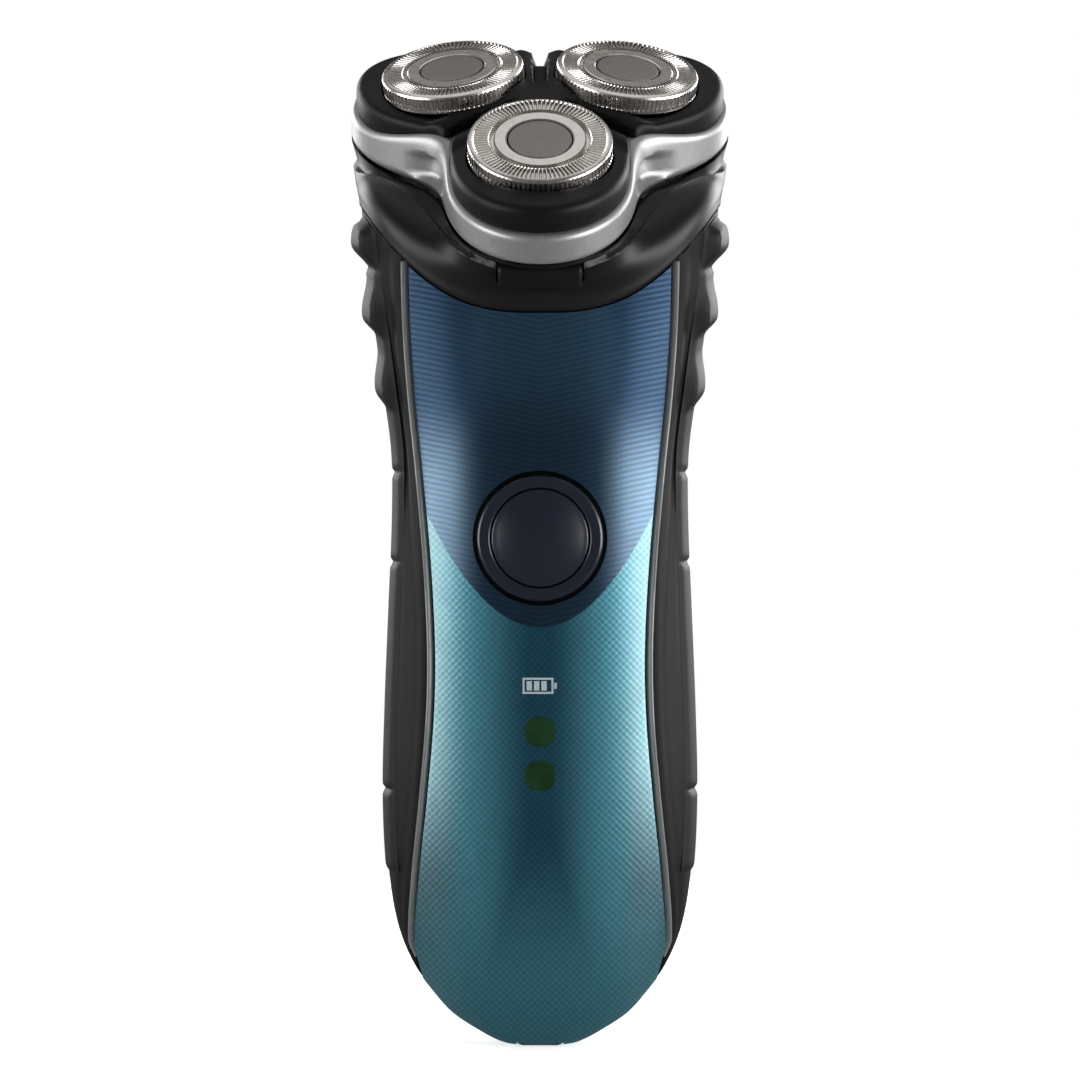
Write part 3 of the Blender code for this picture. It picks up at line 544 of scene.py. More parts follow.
def blue_lacquer():
    """Clear lacquer over a metallic blue ground: a diamond weave below a curved border, and
    fine ribs that rise to the middle above it."""
    look = Look("blue_lacquer", Metallic=0.85, Coat_Weight=0.25, Coat_Roughness=0.32)
    across, _, upward = look.split()
    aside = look.math("ABSOLUTE", across)
    # the border is a parabola that climbs from the middle to the panel's edges
    climb = look.times(look.times(across, across), BORDER_CLIMB / MM)
    border = look.math("ADD", climb, BORDER_LOW * MM)
    upper = look.rise(look.math("SUBTRACT", upward, border), -0.1, 0.1)

    slant = look.math("MULTIPLY_ADD", aside, -RIB_SLOPE, upward)
    ribs = look.math("MULTIPLY_ADD", look.wave(slant, RIB_PITCH), 0.5, 0.5)
    weave = look.times(look.wave(across, WEAVE_PITCH), look.wave(upward, WEAVE_PITCH))
    weave = look.math("MULTIPLY_ADD", weave, 0.5, 0.5)

    # painted light: the colour is darkened along the middle as a painted reflection of the dark
    # room, and lightened at the sides of the waist as a painted highlight of the softboxes; the
    # lower zone is also lighter toward the foot
    painted_waist_highlight = look.times(look.rise(upward, 26, 46), look.rest(look.rise(upward, 84, 99)))
    middle = look.math("MAXIMUM", look.rise(aside, 1, 9), look.rest(look.rise(upward, 8, 34)))
    lower = look.mix(middle, (0.020, 0.120, 0.190), (0.095, 0.350, 0.450))
    edge = look.mix(look.rise(upward, 9, 27), (0.140, 0.400, 0.480), (0.065, 0.140, 0.165))
    edge = look.mix(painted_waist_highlight, edge, (0.150, 0.270, 0.295))
    lower = look.mix(look.rise(aside, 9, 16), lower, edge)
    # painted highlight: the upper zone is darker round the button's height and lighter further
    # off, most toward the top, where the panel tilts up toward the overhead light
    away = look.math("ABSOLUTE", look.math("SUBTRACT", upward, BUTTON_HEIGHT * MM))
    higher = look.mix(look.rise(away, 12, 30), (0.016, 0.045, 0.085), (0.034, 0.090, 0.155))
    edge = look.mix(painted_waist_highlight, (0.008, 0.036, 0.080), (0.085, 0.145, 0.210))
    higher = look.mix(look.rise(aside, 8, 13), higher, edge)
    texture = look.mix(upper, look.mix(weave, (0.65, 0.65, 0.65), (1.0, 1.0, 1.0)),
                       look.mix(ribs, (0.72, 0.72, 0.72), (1.0, 1.0, 1.0)))
    tint_and_painted_light = look.mix(upper, lower, higher)
    look.feed("Base Color", look.mix(1.0, tint_and_painted_light, texture, "MULTIPLY"))
    relief = look.math("ADD", look.times(weave, look.rest(upper)), look.times(ribs, upper))
    look.feed("Roughness", look.math("MULTIPLY_ADD", look.noise(400), 0.1, 0.36))
    look.bump(relief, 0.04, 0.5)
    return look.material


def lens():
    """A dark green indicator window under the lacquer, with a faint painted glow that brightens
    the unlit window.
    """
    look = Look("led_green", Roughness=0.4, Specular_IOR_Level=0.2, Emission_Strength=0.04)
    glow = look.noise(300)
    look.feed("Base Color",
              look.ramp(glow, (0.3, (0.003, 0.016, 0.005)), (0.7, (0.006, 0.028, 0.008))))
    # painted glow: a faint emission stands in for light falling on the unlit window
    look.feed("Emission Color",
              look.ramp(glow, (0.3, (0.02, 0.10, 0.03)), (0.7, (0.03, 0.14, 0.04))))
    return look.material


def circuit():
    """Green solder mask with fine copper tracks."""
    look = Look("circuit", Roughness=0.4, Coat_Weight=0.4)
    across = look.split()[0]
    track = look.math("GREATER_THAN", look.wave(across, 1.4), 0.86)
    run = look.math("GREATER_THAN", look.noise(220, 1, (1, 1, 0.2)), 0.52)
    share = look.times(track, run)
    look.feed("Base Color", look.mix(share, (0.010, 0.075, 0.030), (0.035, 0.130, 0.055)))
    look.bump(share, 0.03)
    return look.material


PLASTICS = {
    # colour, roughness, grain, coat and shine
    "black_gloss": ((0.006, 0.006, 0.007), 0.42, 0.004, 0.0, 0.28),
    "satin_black": ((0.005, 0.005, 0.006), 0.46, 0.004, 0.0, 0.16),
    "black_plastic": ((0.007, 0.007, 0.008), 0.5, 0.01, 0.0, 0.15),
    "black_rubber": ((0.010, 0.010, 0.011), 0.55, 0.02, 0.0, 0.17),
    "blue_black_gloss": ((0.007, 0.010, 0.018), 0.3, 0.002, 0.3, 0.5),
    "white_nylon": ((0.62, 0.61, 0.57), 0.45, 0.01, 0.0, 0.5),
    "cell_wrap": ((0.05, 0.22, 0.10), 0.35, 0.003, 0.3, 0.5),
    "lead_red": ((0.35, 0.015, 0.012), 0.4, 0.01, 0.0, 0.5),
    "lead_black": ((0.015, 0.015, 0.016), 0.4, 0.01, 0.0, 0.5),
    "pale_mark": ((0.30, 0.36, 0.38), 0.4, 0.002, 0.0, 0.5),
}
METALS = {
    # colour, roughness, brushing, noise scale, grain and how metallic
    "grey_trim": ((0.20, 0.21, 0.21), 0.42, (1, 1, 0.1), 1500, 0.003, 0.4),
    "silver_paint": ((0.38, 0.38, 0.38), 0.44, (1, 1, 1), 2600, 0.003, 0.75),
    "steel": ((0.72, 0.69, 0.66), 0.27, (1, 1, 0.3), 1100, 0.0015, 1.0),
    "track_steel": ((0.21, 0.19, 0.175), 0.34, (1, 1, 1), 1400, 0.004, 1.0),
    "cap_grey": ((0.25, 0.245, 0.24), 0.5, (1, 1, 0.3), 1600, 0.006, 0.5),
    # painted shade: darker steel for the floors of the guards' groove and slots
    "dark_steel": ((0.05, 0.048, 0.046), 0.4, (1, 1, 1), 1500, 0.004, 0.8),
}


def make_looks():
    """All the materials, by name."""
    looks = {"blue_lacquer": blue_lacquer(), "board_green": circuit(), "led_green": lens()}
    looks |= {name: plastic(name, *values) for name, values in PLASTICS.items()}
    looks |= {name: metal(name, *values) for name, values in METALS.items()}
    return looks


# ---- the handle ----

PANEL_ROWS, PANEL_COLUMNS = 150, 96
HOUSING_ROWS, HOUSING_COLUMNS = 130, 96
CROWDING = 1.25               # crowds the rows of a skin toward the round foot
SKIN_FOOT = 0.02              # height of the skins' lowest row above the table
# These turn an angle round the handle into a length along each piece.
PANEL_RADIUS, HOUSING_RADIUS = 17, 20
GRIP_WIDTH = 26


def panel_edge(height):
    """The turn of the panel's edge, clear of the rail."""
    return edge_turn(height, -(RAIL_HALF + SEAM))


def housing_edge(height):
    """The turn of the rear housing's edge, clear of the rail."""
    return edge_turn(height, RAIL_HALF + SEAM)


def skin_height(fraction, turn):
    """Height of a row of a skin that runs from the foot up to the collar."""
    return SKIN_FOOT + fraction * (collar_edge(turn) - COLLAR_GAP - SKIN_FOOT)


def socket_opening():
    """A cutter just wider than the charging socket, through the bottom end."""
    low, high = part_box("charging_socket")
    size = (high - low) / MM + Vector((1, 1, 1)) * 2 * SOCKET_GAP
    return block("socket_opening", size, Matrix.Translation((low + high) / 2))


def slider_matrix():
    """The sliding release's axes, from its middle: its own +Y points out of the housing."""
    low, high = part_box("trimmer_slider")
    return Matrix.Translation((low + high) / 2) @ Matrix.Rotation(SLIDER_LEAN, 4, "X")


def slider_pocket():
    """A cutter for the shallow pocket that the release slides down."""
    size = (SLIDER_SIZE.x + 0.6, 4.3, SLIDER_SIZE.z + SLIDER_TRAVEL + 1.2)
    return block("slider_pocket", size, slider_matrix(), (0, 0.75, -SLIDER_TRAVEL / 2))


def front_panel(looks):
    """The lacquered panel, with openings for the button and the charging socket."""

    def spot(row, column):
        share = 2 * column / PANEL_COLUMNS - 1
        fraction = (row / PANEL_ROWS) ** CROWDING
        # the turn and the collar's height there depend on each other
        turn = panel_edge(fraction * 105) * share
        for _ in range(3):
            turn = panel_edge(fraction * (collar_edge(turn) - COLLAR_GAP)) * share
        height = skin_height(fraction, turn)
        border = (1 - abs(share)) * abs(panel_edge(height)) * PANEL_RADIUS
        return handle_point(height, turn, 0.1 - rolled(border, 0.5))

    panel = grid("front_panel_skin", PANEL_ROWS, PANEL_COLUMNS, spot)
    wall(panel, 1.4)
    cut(panel, [drum("hole", RING_RADIUS + 0.65, -12, 6, BUTTON_FRAME), socket_opening()])
    dress(panel, looks["blue_lacquer"], "handle", "blue_lacquer", "front_panel")


def rear_housing(looks):
    """The rear half of the handle, from rail to rail round the back, with a crease beside
    each rail."""

    def spot(row, column):
        fraction = (row / HOUSING_ROWS) ** CROWDING
        share = column / HOUSING_COLUMNS
        turn = math.pi
        for _ in range(4):
            height = skin_height(fraction, turn)
            start = housing_edge(height)
            span = 2 * math.pi - 2 * start
            turn = start + span * share
        aside = min(share, 1 - share) * span * HOUSING_RADIUS
        crease = bump(3.2, 1.5, aside) * 0.35 * step_up(14, 30, height)
        return handle_point(height, turn, -rolled(aside, 0.4) - crease)

    housing = wall(grid("rear_housing_skin", HOUSING_ROWS, HOUSING_COLUMNS, spot), 1.5)
    cut(housing, [socket_opening(), slider_pocket()])
    dress(housing, looks["black_plastic"], "handle", "black_plastic", "rear_housing")


def sided_grid(name, rows, columns, spot, side):
    """A surface given for the handle's right side, or its mirror image on the left."""
    def sided(row, column):
        point = spot(row, column)
        return point.x * side, point.y, point.z

    item = grid(name, rows, columns, sided)
    if side < 0:
        item.data.flip_normals()
    return item


def side_rail(looks, name, side):
    """A slim metal-look strip with a rounded crown between the panel and the housing."""
    rows, around = 120, 10
    top = under_collar(rail_turn)

    def spot(row, column):
        height = RAIL_FOOT + (top - RAIL_FOOT) * row / rows
        angle = math.pi * column / around
        aside = -RAIL_HALF * math.cos(angle)
        crown = 0.5 + 0.55 * step_up(0, 3, height - RAIL_FOOT)
        return handle_point(height, edge_turn(height, aside), crown * math.sin(angle) - 0.5)

    item = wall(sided_grid(f"{name}_strip", rows, around, spot, side), 0.3)
    dress(item, looks["grey_trim"], "handle", "grey_trim", name)


def grip_height(height, share):
    """How proud a side grip stands: a thin pad, three ribs like overlapping petals, steep
    below and gentle above, and fine notches between its pads."""
    swell = 0.0
    for middle, rise in RIBS:
        # a rib sags toward its ends, and a crease lies just below it
        centre = middle - 5.0 * abs(share - 0.4) ** 1.5
        half = 3.0 if height < centre else 6.0
        swell = max(swell, rise * bump(centre, half, height) ** 0.8)
        swell -= 0.5 * bump(centre - 3.6, 0.9, height)
    notch = max(bump(middle, 0.8, height) for middle in GRIP_NOTCHES)
    border = step_up(0, 2.0, min(share, 1 - share) * GRIP_WIDTH)
    foot = step_up(GRIP_FOOT, GRIP_FOOT + 0.8, height)
    return (GRIP_PROUD + swell) * border * foot - 0.45 * notch * border


def side_grip(looks, name, side):
    """The rubber grip on one side of the handle, from its foot to just below the collar."""
    rows, columns = 190, 40

    def spot(row, column):
        share = column / columns
        turn = GRIP_FRONT + (GRIP_BACK - GRIP_FRONT) * share
        top = min(GRIP_HEAD, collar_edge(turn) - 0.6)
        height = GRIP_FOOT + (top - GRIP_FOOT) * (row / rows)
        fade = max(1 - step_up(top - 1.2, top, height), 0.1)
        return handle_point(height, turn, 0.02 + grip_height(height, share) * fade)

    item = wall(sided_grid(f"{name}_pad", rows, columns, spot, side), 0.9)
    dress(item, looks["black_rubber"], "handle", "black_rubber", name)


def power_button(looks):
    """A polished domed cap inside a fixed, rounded ring."""
    corner, steps = 0.4, 12
    border = BUTTON_RADIUS - corner
    dome = [(border * step / steps, 1.75 - 1.35 * (step / steps) ** 2)
            for step in range(steps + 1)]
    profile = dome + arc((border, 0.0), corner, 70, 0) + [(BUTTON_RADIUS, -2.6), (0, -2.6)]
    cap = lathe("power_button_cap", profile, BUTTON_FRAME, ring=False)
    dress(cap, looks["blue_black_gloss"], "power_button", "blue_black_gloss", "power_button")
    inner = BUTTON_RADIUS + 0.15
    profile = ([(inner, -2.4), (inner, 0.1)] + arc((inner + 0.35, 0.1), 0.35, 180, 90)
               + arc((RING_RADIUS - 0.55, -0.1), 0.55, 90, 0) + [(RING_RADIUS, -2.4)])
    ring = lathe("button_ring_bezel", profile, BUTTON_FRAME)
    dress(ring, looks["blue_black_gloss"], "handle", "blue_black_gloss", "button_ring")


def charge_display(looks):
    """Two indicator windows and a generic battery sign under the lacquer's surface."""
    for name, height in zip(("led_lower", "led_upper"), LED_HEIGHTS):
        rows, columns = 12, 24

        def spot(row, column, height=height):
            radius = LED_RADIUS * row / rows
            angle = -2 * math.pi * column / columns
            at = height + radius * signed_power(math.sin(angle), 0.8)
            turn = turn_across(at, radius * signed_power(math.cos(angle), 0.8))
            return handle_point(at, turn, 0.16 - 0.1 * (row / rows) ** 4)

        window = grid(name + "_window", rows, columns, spot, closed=True)
        dress(window, looks["led_green"], "handle", "led_green")
    strokes = (
        # left, bottom, width, height of each stroke of the sign, from its middle
        (-2.6, -1.2, 4.6, 0.3), (-2.6, 0.9, 4.6, 0.3), (-2.6, -1.2, 0.3, 2.4),
        (1.7, -1.2, 0.3, 2.4), (2.1, -0.45, 0.4, 0.9), (-2.0, -0.7, 0.8, 1.4),
        (-0.9, -0.7, 0.8, 1.4), (0.2, -0.7, 0.8, 1.4),
    )
    for index, (left, low, width, tall) in enumerate(strokes):
        def spot(row, column, left=left, low=low, width=width, tall=tall):
            at = SIGN_HEIGHT + low + tall * row
            return handle_point(at, turn_across(at, left + width * column / 4), 0.14)

        mark = grid(f"battery_sign_{index + 1}", 1, 4, spot)
        dress(mark, looks["pale_mark"], "handle", "grey_trim")


# ---- collar ----

FOOT_RISE, FOOT_HEIGHT = 0.08, 1.6    # the straight foot's share of the rise, and its height
COLLAR_SLANT = 12             # turns a share of the rise at the foot into a length


def collar_wall(rise, turn):
    """The collar's outer form: straight at its foot, then sweeping out to the head."""
    height = collar_edge(turn) + 0.12
    low = handle_point(height, turn, 0.25)
    upward = (handle_skin(height + 1, turn) - handle_skin(height - 1, turn)).normalized()
    if rise < FOOT_RISE:
        return low + upward * FOOT_HEIGHT * rise / FOOT_RISE
    high = head_point(*outline_point(turn), -0.35)
    low = low + upward * FOOT_HEIGHT
    t = (rise - FOOT_RISE) / (1 - FOOT_RISE)
    control = low + upward * (high - low).length * 0.45
    return low * (1 - t)**2 + control * 2 * t * (1 - t) + high * t**2


def crease_rise(turn):
    """Where the collar's shoulder folds in below the head, as a fraction of its height."""
    return 0.74 + 0.22 * max(math.cos(turn), 0.0) ** 3


def collar(looks):
    """The black neck ring, with the hinge lugs and the openings for the release and trimmer."""
    rows, columns = 44, 200

    def spot(row, column):
        turn = 2 * math.pi * column / columns
        rise = row / rows
        point = collar_wall(rise, turn)
        across = collar_wall(rise, turn + TURN_STEP) - collar_wall(rise, turn - TURN_STEP)
        upward = (collar_wall(min(rise + 0.02, 1), turn)
                  - collar_wall(max(rise - 0.02, 0), turn))
        outward = across.cross(upward).normalized()
        fold = crease_rise(turn)
        swell = 0.8 * step_up(0.05, 0.6, rise) * (1 - step_up(fold - 0.01, fold + 0.035, rise))
        return point + outward * (swell - rolled(rise * COLLAR_SLANT, 0.3))

    ring = wall(grid("collar_shell", rows, columns, spot, closed=True), 1.0)
    lugs = []
    for middle in (LUG_SPREAD, -LUG_SPREAD):
        lugs.append(drum("lug", LUG_RADIUS, middle - 1.8, middle + 1.8, PIN_FRAME))
        lugs.append(block("root", (3.6, 4.4, 2.0), HINGE_FRAME, (middle, -2.2, -0.8)))
    cut(ring, lugs, "UNION")
    cut(ring, [
        drum("notch", LUG_RADIUS + 0.5, -4.9, 4.9, PIN_FRAME),
        drum("bore", BORE_RADIUS, -9, 9, PIN_FRAME, 32),
        block("gap", (13.0, 9.4, 4.3), HEAD_FRAME, (0, *RELEASE_SPOT)),
        block("bay", (23.0, 12, 19.2), TRIMMER_FRAME, (0, 1.0, 6.7)),
        drum("pin", 0.75, -13, 13, TRIMMER_FRAME @ SIDEWAYS, 32),
    ])
    round_edges(ring, 0.25, 55)
    dress(ring, looks["black_gloss"], "handle", "black_gloss", "collar")


# ---- shaving unit ----

HEAD_STEPS = 300
HEAD_TURNS = [2 * math.pi * index / HEAD_STEPS for index in range(HEAD_STEPS)]
CAP_VALLEY_INSET = 1.6        # how much further in the cap stands in the front valleys
GROOVE_DEPTH = 2.3            # depth of the grooves between the cap's three petals


def shells(name, rings):
    """A closed body skinned through rings of points, from its upper cap round to its lower."""
    shape = bmesh.new()
    loops = [[shape.verts.new(Vector(point) * MM) for point in ring] for ring in rings]
    count = len(loops[0])
    for upper, lower in zip(loops, loops[1:]):
        for i in range(count):
            after = (i + 1) % count
            shape.faces.new((lower[i], lower[after], upper[after], upper[i]))
    shape.faces.new(loops[0])
    shape.faces.new(list(reversed(loops[-1])))
    bmesh.ops.transform(shape, matrix=HEAD_FRAME, verts=shape.verts)
    return add_object(name, shape)


def swing_from_front(turn):
    """How far a turn lies from the front, either way."""
    return abs(math.atan2(math.sin(turn), math.cos(turn)))


def front_valley(turn):
    """1 in the two valleys beside the front lobe, fading to 0 round them."""
    return bump(math.radians(66), math.radians(34), swing_from_front(turn))


def cap_inset(turn, inset):
    """How far inside the head's outline the black cap's wall stands."""
    return inset + CAP_VALLEY_INSET * front_valley(turn)


def trim_band(looks):
    """The satin ring that the heads stand on.  It rises in the front valleys, leans in
    there round a pressed dimple, and carries the hinge knuckle at the rear."""
    outer = [(1.0, 1.6), (1.0, 0.75), (0.965, 0.4), (0.9, 0.12)]
    outer += [(0.82 - 0.06 * step, 0.0) for step in range(12)]
    outer += [(0.1, 0.08), (0.04, 0.3), (0.0, 0.8), (0.0, 1.6)]
    rings = []
    for share, inset in outer:
        ring = []
        for turn in HEAD_TURNS:
            valley = front_valley(turn)
            height = share * (BAND_HEIGHT + 3.6 * valley)
            swing = math.degrees(swing_from_front(turn))
            dimple = (step_up(48, 56, swing) * (1 - step_up(68, 80, swing))
                      * step_up(0.08, 0.22, share) * (1 - step_up(0.5, 0.66, share)))
            lean = 1.4 * valley * share + 1.3 * dimple
            ring.append((*outline_point(turn, inset + lean), height))
        rings.append(ring)
    band = shells("trim_band_ring", rings)
    inside = [[(*outline_point(turn, cap_inset(turn, 1.95)), height) for turn in HEAD_TURNS]
              for height in (12, -3)]
    cut(band, [shells("inside", inside)])
    cut(band, [drum("knuckle", LUG_RADIUS, -4.5, 4.5, PIN_FRAME),
               block("web", (8.0, 3.6, 2.2), HEAD_FRAME, (0, 23.0, 1.2))], "UNION")
    cut(band, [drum("bore", BORE_RADIUS, -9, 9, PIN_FRAME, 32)])
    dress(band, looks["silver_paint"], "shaving_unit", "silver_paint", "trim_band")


def cap_height(radius, turn):
    """The black head cap's top: three petals parted by deep grooves that meet in a Y."""
    height = roof_height(radius, turn)
    for _, middle in HEADS:
        swing = turn - middle - math.pi
        if math.cos(swing) <= 0:
            continue
        aside = radius * abs(math.sin(swing))
        depth = GROOVE_DEPTH * step_up(3.0, 9.0, radius)
        height -= depth * (1 - step_up(0.5, 1.2, aside))
        height += 0.7 * bump(2.8, 2.4, aside) * step_up(6, 12, radius)
    return height


def head_cap(looks):
    """The black cap round the three guards: its roof, a rounded corner, the wall down into
    the band, and the hollow beneath."""
    inset, corner = 2.3, 1.4
    roof_steps, corner_steps = 48, 6
    edges = [outline_radius(turn) - cap_inset(turn, inset) for turn in HEAD_TURNS]
    rings = []
    for step in range(1, roof_steps + 1):
        ring = []
        for turn, edge in zip(HEAD_TURNS, edges):
            radius = edge * step / roof_steps
            ring.append((*polar(radius, turn), cap_height(radius, turn)))
        rings.append(ring)
    for step in range(1, corner_steps + 1):
        angle = math.pi / 2 * step / corner_steps
        drop = corner * (1 - math.cos(angle))
        rings.append([(*polar(edge + corner * math.sin(angle), turn),
                       cap_height(edge, turn) - drop)
                      for turn, edge in zip(HEAD_TURNS, edges)])
    for height, foot_inset in ((5.4, 0.9), (5.0, 1.1), (5.0, 3.4), (7.0, 3.6)):
        rings.append([(*outline_point(turn, cap_inset(turn, foot_inset)), height)
                      for turn in HEAD_TURNS])
    for scale in (0.84, 0.4, 0.03):
        rings.append([(*polar(outline_radius(turn) * scale, turn),
                       roof_height(scale * outline_radius(turn), turn) - 1.5)
                      for turn in HEAD_TURNS])
    cap = shells("head_cap", rings)
    cut(cap, [drum("seat", GUARD_RADIUS + 0.3, -7, 5, guard_matrix(turn), 144)
              for _, turn in HEADS])
    round_edges(cap, 0.22, 50)
    dress(cap, looks["satin_black"], "shaving_unit", "black_gloss", "head_holder")


SLOTS = 90                    # slots round one guard
SLOT_STEPS = 4                # steps of the guard's mesh for each slot and the land beside it
# the faces of these groove and slot rows take the darker steel as painted shade
SHADED_GROOVE_ROWS = (4, 5)     # rows of the track's mesh that line the groove
SLOT_ROWS = (8, 14)           # and those that floor the slots on its face and its wall


def guard(looks, name, turn):
    """A shaving guard: a slotted outer track with a knurled wall, a groove and a bright ring."""
    track = [
        # radius and height, then those of the slots' floor where they are cut
        (4.95, 0.0), (5.15, 0.12), (6.72, 0.12), (6.9, 0.0), (6.9, -0.5), (7.4, -0.5),
        (7.4, -0.05), (7.55, 0.08), (7.75, 0.08, 7.75, -0.38), (9.85, 0.08, 9.85, -0.38),
        (10.1, 0.08), (10.45, -0.02), (10.68, -0.16), (10.8, -0.42),
        (10.8, -0.7, 10.42, -0.7), (10.8, -2.2, 10.42, -2.2), (10.8, -2.4), (10.8, -2.7),
        (10.4, -2.7), (10.35, -0.7), (4.95, -0.6),
    ]
    steel, track_steel, dark_steel = range(3)
    shape = bmesh.new()
    steps = SLOTS * SLOT_STEPS
    loops = []
    for point in track:
        loop = []
        for index in range(steps):
            radius, height = point[-2:] if index % SLOT_STEPS in (2, 3) else point[:2]
            loop.append(shape.verts.new(circle_point(radius, index, steps, height)))
        loops.append(loop)
    for row, (upper, lower) in enumerate(zip(loops, loops[1:] + loops[:1])):
        for i in range(steps):
            after = (i + 1) % steps
            face = shape.faces.new((lower[i], lower[after], upper[after], upper[i]))
            # painted shade: the groove and the slots' floors get the darker steel
            if row in SHADED_GROOVE_ROWS or (row in SLOT_ROWS and i % SLOT_STEPS == 2):
                face.material_index = dark_steel
            else:
                face.material_index = track_steel if row > SHADED_GROOVE_ROWS[-1] else steel
    bmesh.ops.transform(shape, matrix=guard_matrix(turn), verts=shape.verts)
    item = add_object(f"guard_{name}_ring", shape, 30)
    dress(item, looks["steel"], f"guard_{name}", "steel", f"guard_{name}")
    item.data.materials.append(looks["track_steel"])
    item.data.materials.append(looks["dark_steel"])
    profile = ([(0, 0.2), (3.4, 0.18), (4.3, 0.12)] + arc((4.55, -0.1), 0.2, 80, 0, 4)
               + [(4.75, -0.45), (0, -0.45)])
    cap = lathe(f"guard_cap_{name}_disc", profile, guard_matrix(turn), ring=False)
    dress(cap, looks["cap_grey"], f"guard_{name}", "grey_trim", f"guard_cap_{name}")


# ---- rear fittings ----

def trimmer_housing(looks):
    """The pop-up trimmer's body: a crowned lid with three finger ribs."""
    rows, columns = 60, 48
    half, foot, top = 11.0, -0.9, 10.8

    def spot(row, column):
        across = half * (2 * column / columns - 1)
        height = foot + (top - foot) * row / rows
        crown = 2.4 - 0.012 * across**2
        ribs = sum(bump(middle, 0.7, height) for middle in (3.4, 5.2, 7.0))
        ribs *= 0.35 * (1 - step_up(6.5, 8.0, abs(across)))
        border = min(half - abs(across), height - foot, top - height)
        point = Vector((-across, crown + ribs - rolled(border, 0.6), height))
        return TRIMMER_FRAME @ (point * MM) / MM

    item = wall(grid("trimmer_lid", rows, columns, spot), 3.4)
    dress(item, looks["black_gloss"], "trimmer", "black_gloss", "trimmer_housing")


def trimmer_slider(looks):
    """The sliding release, with ribs across its face."""
    axes = slider_matrix()
    item = round_edges(block("slider_body", SLIDER_SIZE, axes), 0.6, segments=4)
    ribs = [round_edges(block("rib", (8.6, 0.8, 0.55), axes, (0, SLIDER_SIZE.y / 2, rise)), 0.15)
            for rise in (-2.4, -1.2, 0.0, 1.2, 2.4)]
    cut(item, ribs, "UNION")
    dress(item, looks["black_rubber"], "trimmer_slider", "black_rubber", "trimmer_slider")


def release_button(looks):
    """The press button in the collar's front that lets the shaving unit open."""
    along, height = RELEASE_SPOT
    item = block("release_cap", (12.4, 2.6, 3.7), HEAD_FRAME, (0, along - 0.3, height))
    round_edges(item, 0.7, segments=4)
    dress(item, looks["satin_black"], "release_button", "black_plastic", "release_button")


# ---- CAD pieces shown as they are ----

KEPT = {
    "steel": ("hinge_pin", "trimmer_pin", "trimmer_comb", "trimmer_blade", "board_screw_left",
              "board_screw_right", "motor_plate", "battery_link", "release_spring",
              "socket_pin_front", "socket_pin_rear", "motor_case",
              *(f"cutter_{name}" for name, _ in HEADS)),
    "black_plastic": ("chassis", "trimmer_bay", "charging_socket", "hair_chamber",
                      "retaining_frame", "tact_switch"),
    "black_rubber": tuple(f"spindle_seal_{name}" for name, _ in HEADS),
    "white_nylon": ("gear_plate", "lock_wheel", "motor_pinion",
                    *(f"drive_gear_{name}" for name, _ in HEADS)),
    "board_green": ("circuit_board",),
    "cell_wrap": ("battery_cell_left", "battery_cell_right"),
    "lead_red": ("motor_lead_red",),
    "lead_black": ("motor_lead_black",),
    "led_green": ("led_lower", "led_upper"),
}


def keep_cad_pieces(looks):
    """Give the CAD pieces that stay in view materials with grain."""
    for look, names in KEPT.items():
        for name in names:
            materials = frame["nodes"][name].data.materials
            if not materials:
                materials.append(looks[look])
            for index in range(len(materials)):
                materials[index] = looks[look]


# ---- stage ----

def paper():
    """Matte white paper for the floor."""
    look = Look("paper", Roughness=0.9, Emission_Strength=0.6)
    look.feed("Emission Color", (1, 1, 1, 1))
    look.feed("Base Color",
              look.ramp(look.noise(30), (0.3, (0.86, 0.86, 0.86)), (0.7, (0.89, 0.89, 0.89))))
    return look.material


def softbox(name, spot, aim, size, power):
    """A rectangular light aimed at a point."""
    data = bpy.data.lights.new(name, "AREA")
    data.shape = "RECTANGLE"
    data.size, data.size_y = size
    data.energy = power
    item = bpy.data.objects.new(name, data)
    item.location = spot
    item.rotation_euler = (Vector(aim) - Vector(spot)).to_track_quat("-Z", "Y").to_euler()
    bpy.context.scene.collection.objects.link(item)


TENT_RADIUS = 2.5
CARD_HEIGHT = 0.2 * MM


def glow(name, *stops):
    """A plain light-giving material that changes with height, up to the tent's top."""
    look = Look(name)
    shine = look.node("ShaderNodeEmission")
    upward = look.math("DIVIDE", look.split()[2], TENT_RADIUS)
    look.feed(shine.inputs["Color"], look.ramp(upward, *stops))
    look.feed(look.tree.nodes["Material Output"].inputs["Surface"], shine.outputs[0])
    return look.material


def disc(name, radius, height, look):
    """A level disc of the stage, in metres."""
    shape = bmesh.new()
    bmesh.ops.create_circle(shape, cap_ends=True, segments=96, radius=radius,
                            matrix=Matrix.Translation((0, 0, height)))
    item = add_object(name, shape)
    item.data.materials.append(look)
    return item


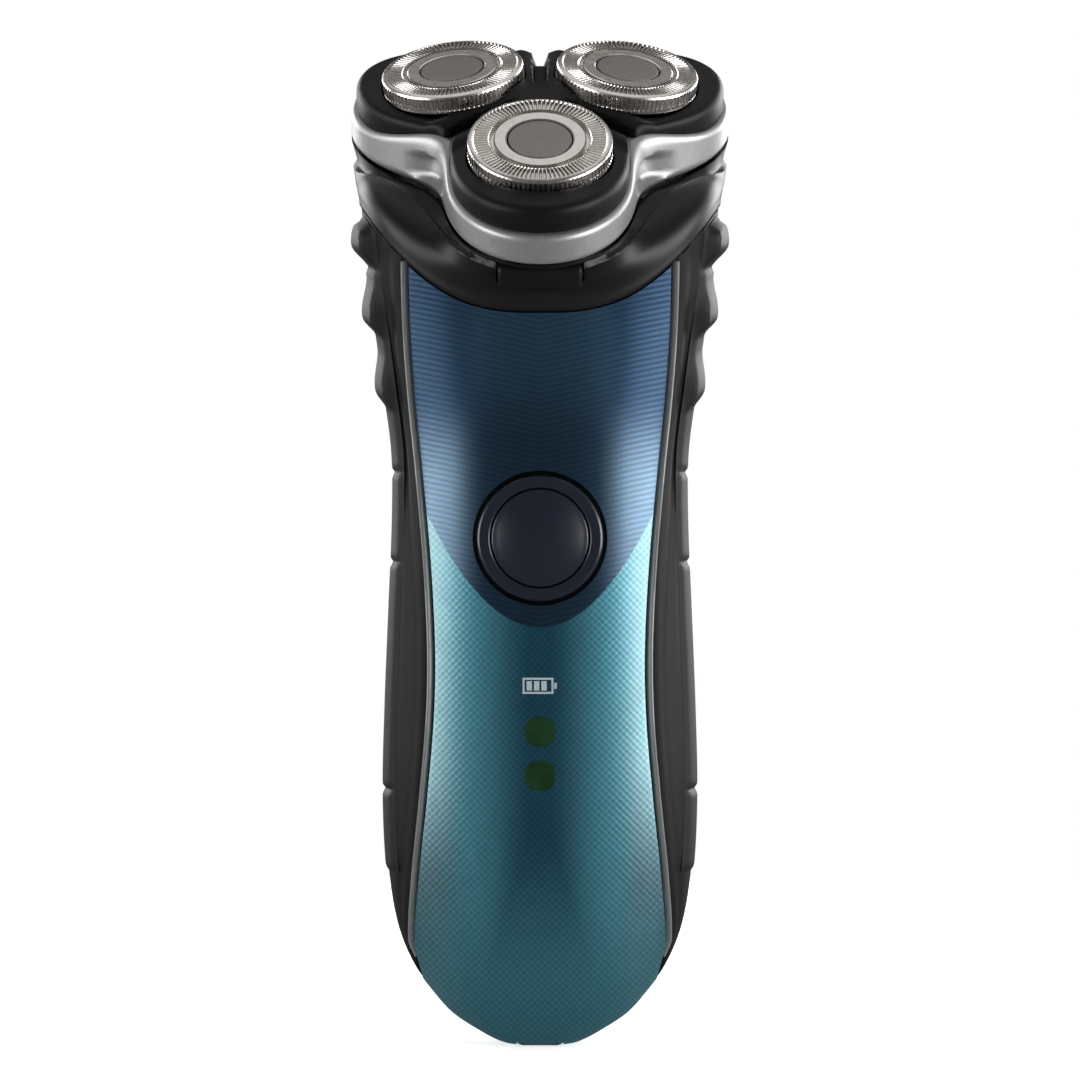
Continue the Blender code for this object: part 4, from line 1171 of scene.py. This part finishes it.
def tent():
    """A dark studio tent that only reflections see: dim at eye level and grey overhead, with
    a dark card over the table."""
    shape = bmesh.new()
    bmesh.ops.create_uvsphere(shape, u_segments=48, v_segments=24, radius=TENT_RADIUS)
    dome = add_object("tent", shape)
    dome.data.materials.append(glow(
        "tent", (0.0, (0.08, 0.08, 0.08)), (0.45, (0.08, 0.08, 0.08)),
        (0.8, (0.14, 0.135, 0.13)), (1.0, (0.22, 0.21, 0.20))))
    dome.visible_camera = False
    card = disc("card", 0.5, CARD_HEIGHT, glow("card", (0.0, (0.10, 0.10, 0.10)),
                                               (1.0, (0.12, 0.12, 0.12))))
    card.visible_camera = False
    card.visible_diffuse = False
    card.visible_shadow = False


SOFTBOXES = (
    # place and size in metres, and power in watts
    ("softbox_left", (-0.75, -0.27, 0.12), (0.74, 0.42), 5.2),
    ("softbox_right", (0.75, -0.27, 0.12), (0.74, 0.42), 8.2),
    ("rear_left", (-0.55, 0.6, 0.35), (0.5, 0.5), 4.5),
    ("rear_right", (0.55, 0.6, 0.35), (0.5, 0.5), 6.5),
    ("overhead", (0, 0.1, 1.1), (1.2, 1.0), 2.4),
)
CAMERA_DISTANCE = 0.8
FIELD_WIDTH = 0.1636          # width of the picture where it passes through the handle's axis


def set_stage():
    """A round white table, five softboxes, and the camera facing the panel."""
    low, high = CAD_BOX
    middle = (low + high) / 2
    disc("floor", 0.4, low.z, paper())
    tent()
    for name, spot, size, power in SOFTBOXES:
        softbox(name, spot, middle, size, power)
    world = bpy.data.worlds.new("studio")
    world.use_nodes = True
    world.node_tree.nodes["Background"].inputs["Color"].default_value = (1, 1, 1, 1)
    bpy.context.scene.world = world
    bpy.context.scene.view_settings.view_transform = "Standard"

    lens = bpy.data.cameras.new("camera")
    lens.sensor_width = 36.0
    lens.lens = lens.sensor_width * CAMERA_DISTANCE / FIELD_WIDTH
    camera = bpy.data.objects.new("camera", lens)
    camera.location = (0, -CAMERA_DISTANCE, middle.z)
    camera.rotation_euler = (math.pi / 2, 0, 0)
    bpy.context.scene.collection.objects.link(camera)
    bpy.context.scene.camera = camera


def main():
    """Make every piece and the stage."""
    looks = make_looks()
    front_panel(looks)
    rear_housing(looks)
    side_rail(looks, "side_rail_right", 1)
    side_rail(looks, "side_rail_left", -1)
    side_grip(looks, "side_grip_right", 1)
    side_grip(looks, "side_grip_left", -1)
    for piece in (power_button, charge_display, collar, trim_band, head_cap):
        piece(looks)
    for name, turn in HEADS:
        guard(looks, name, turn)
    for piece in (trimmer_housing, trimmer_slider, release_button, keep_cad_pieces):
        piece(looks)
    set_stage()


main()
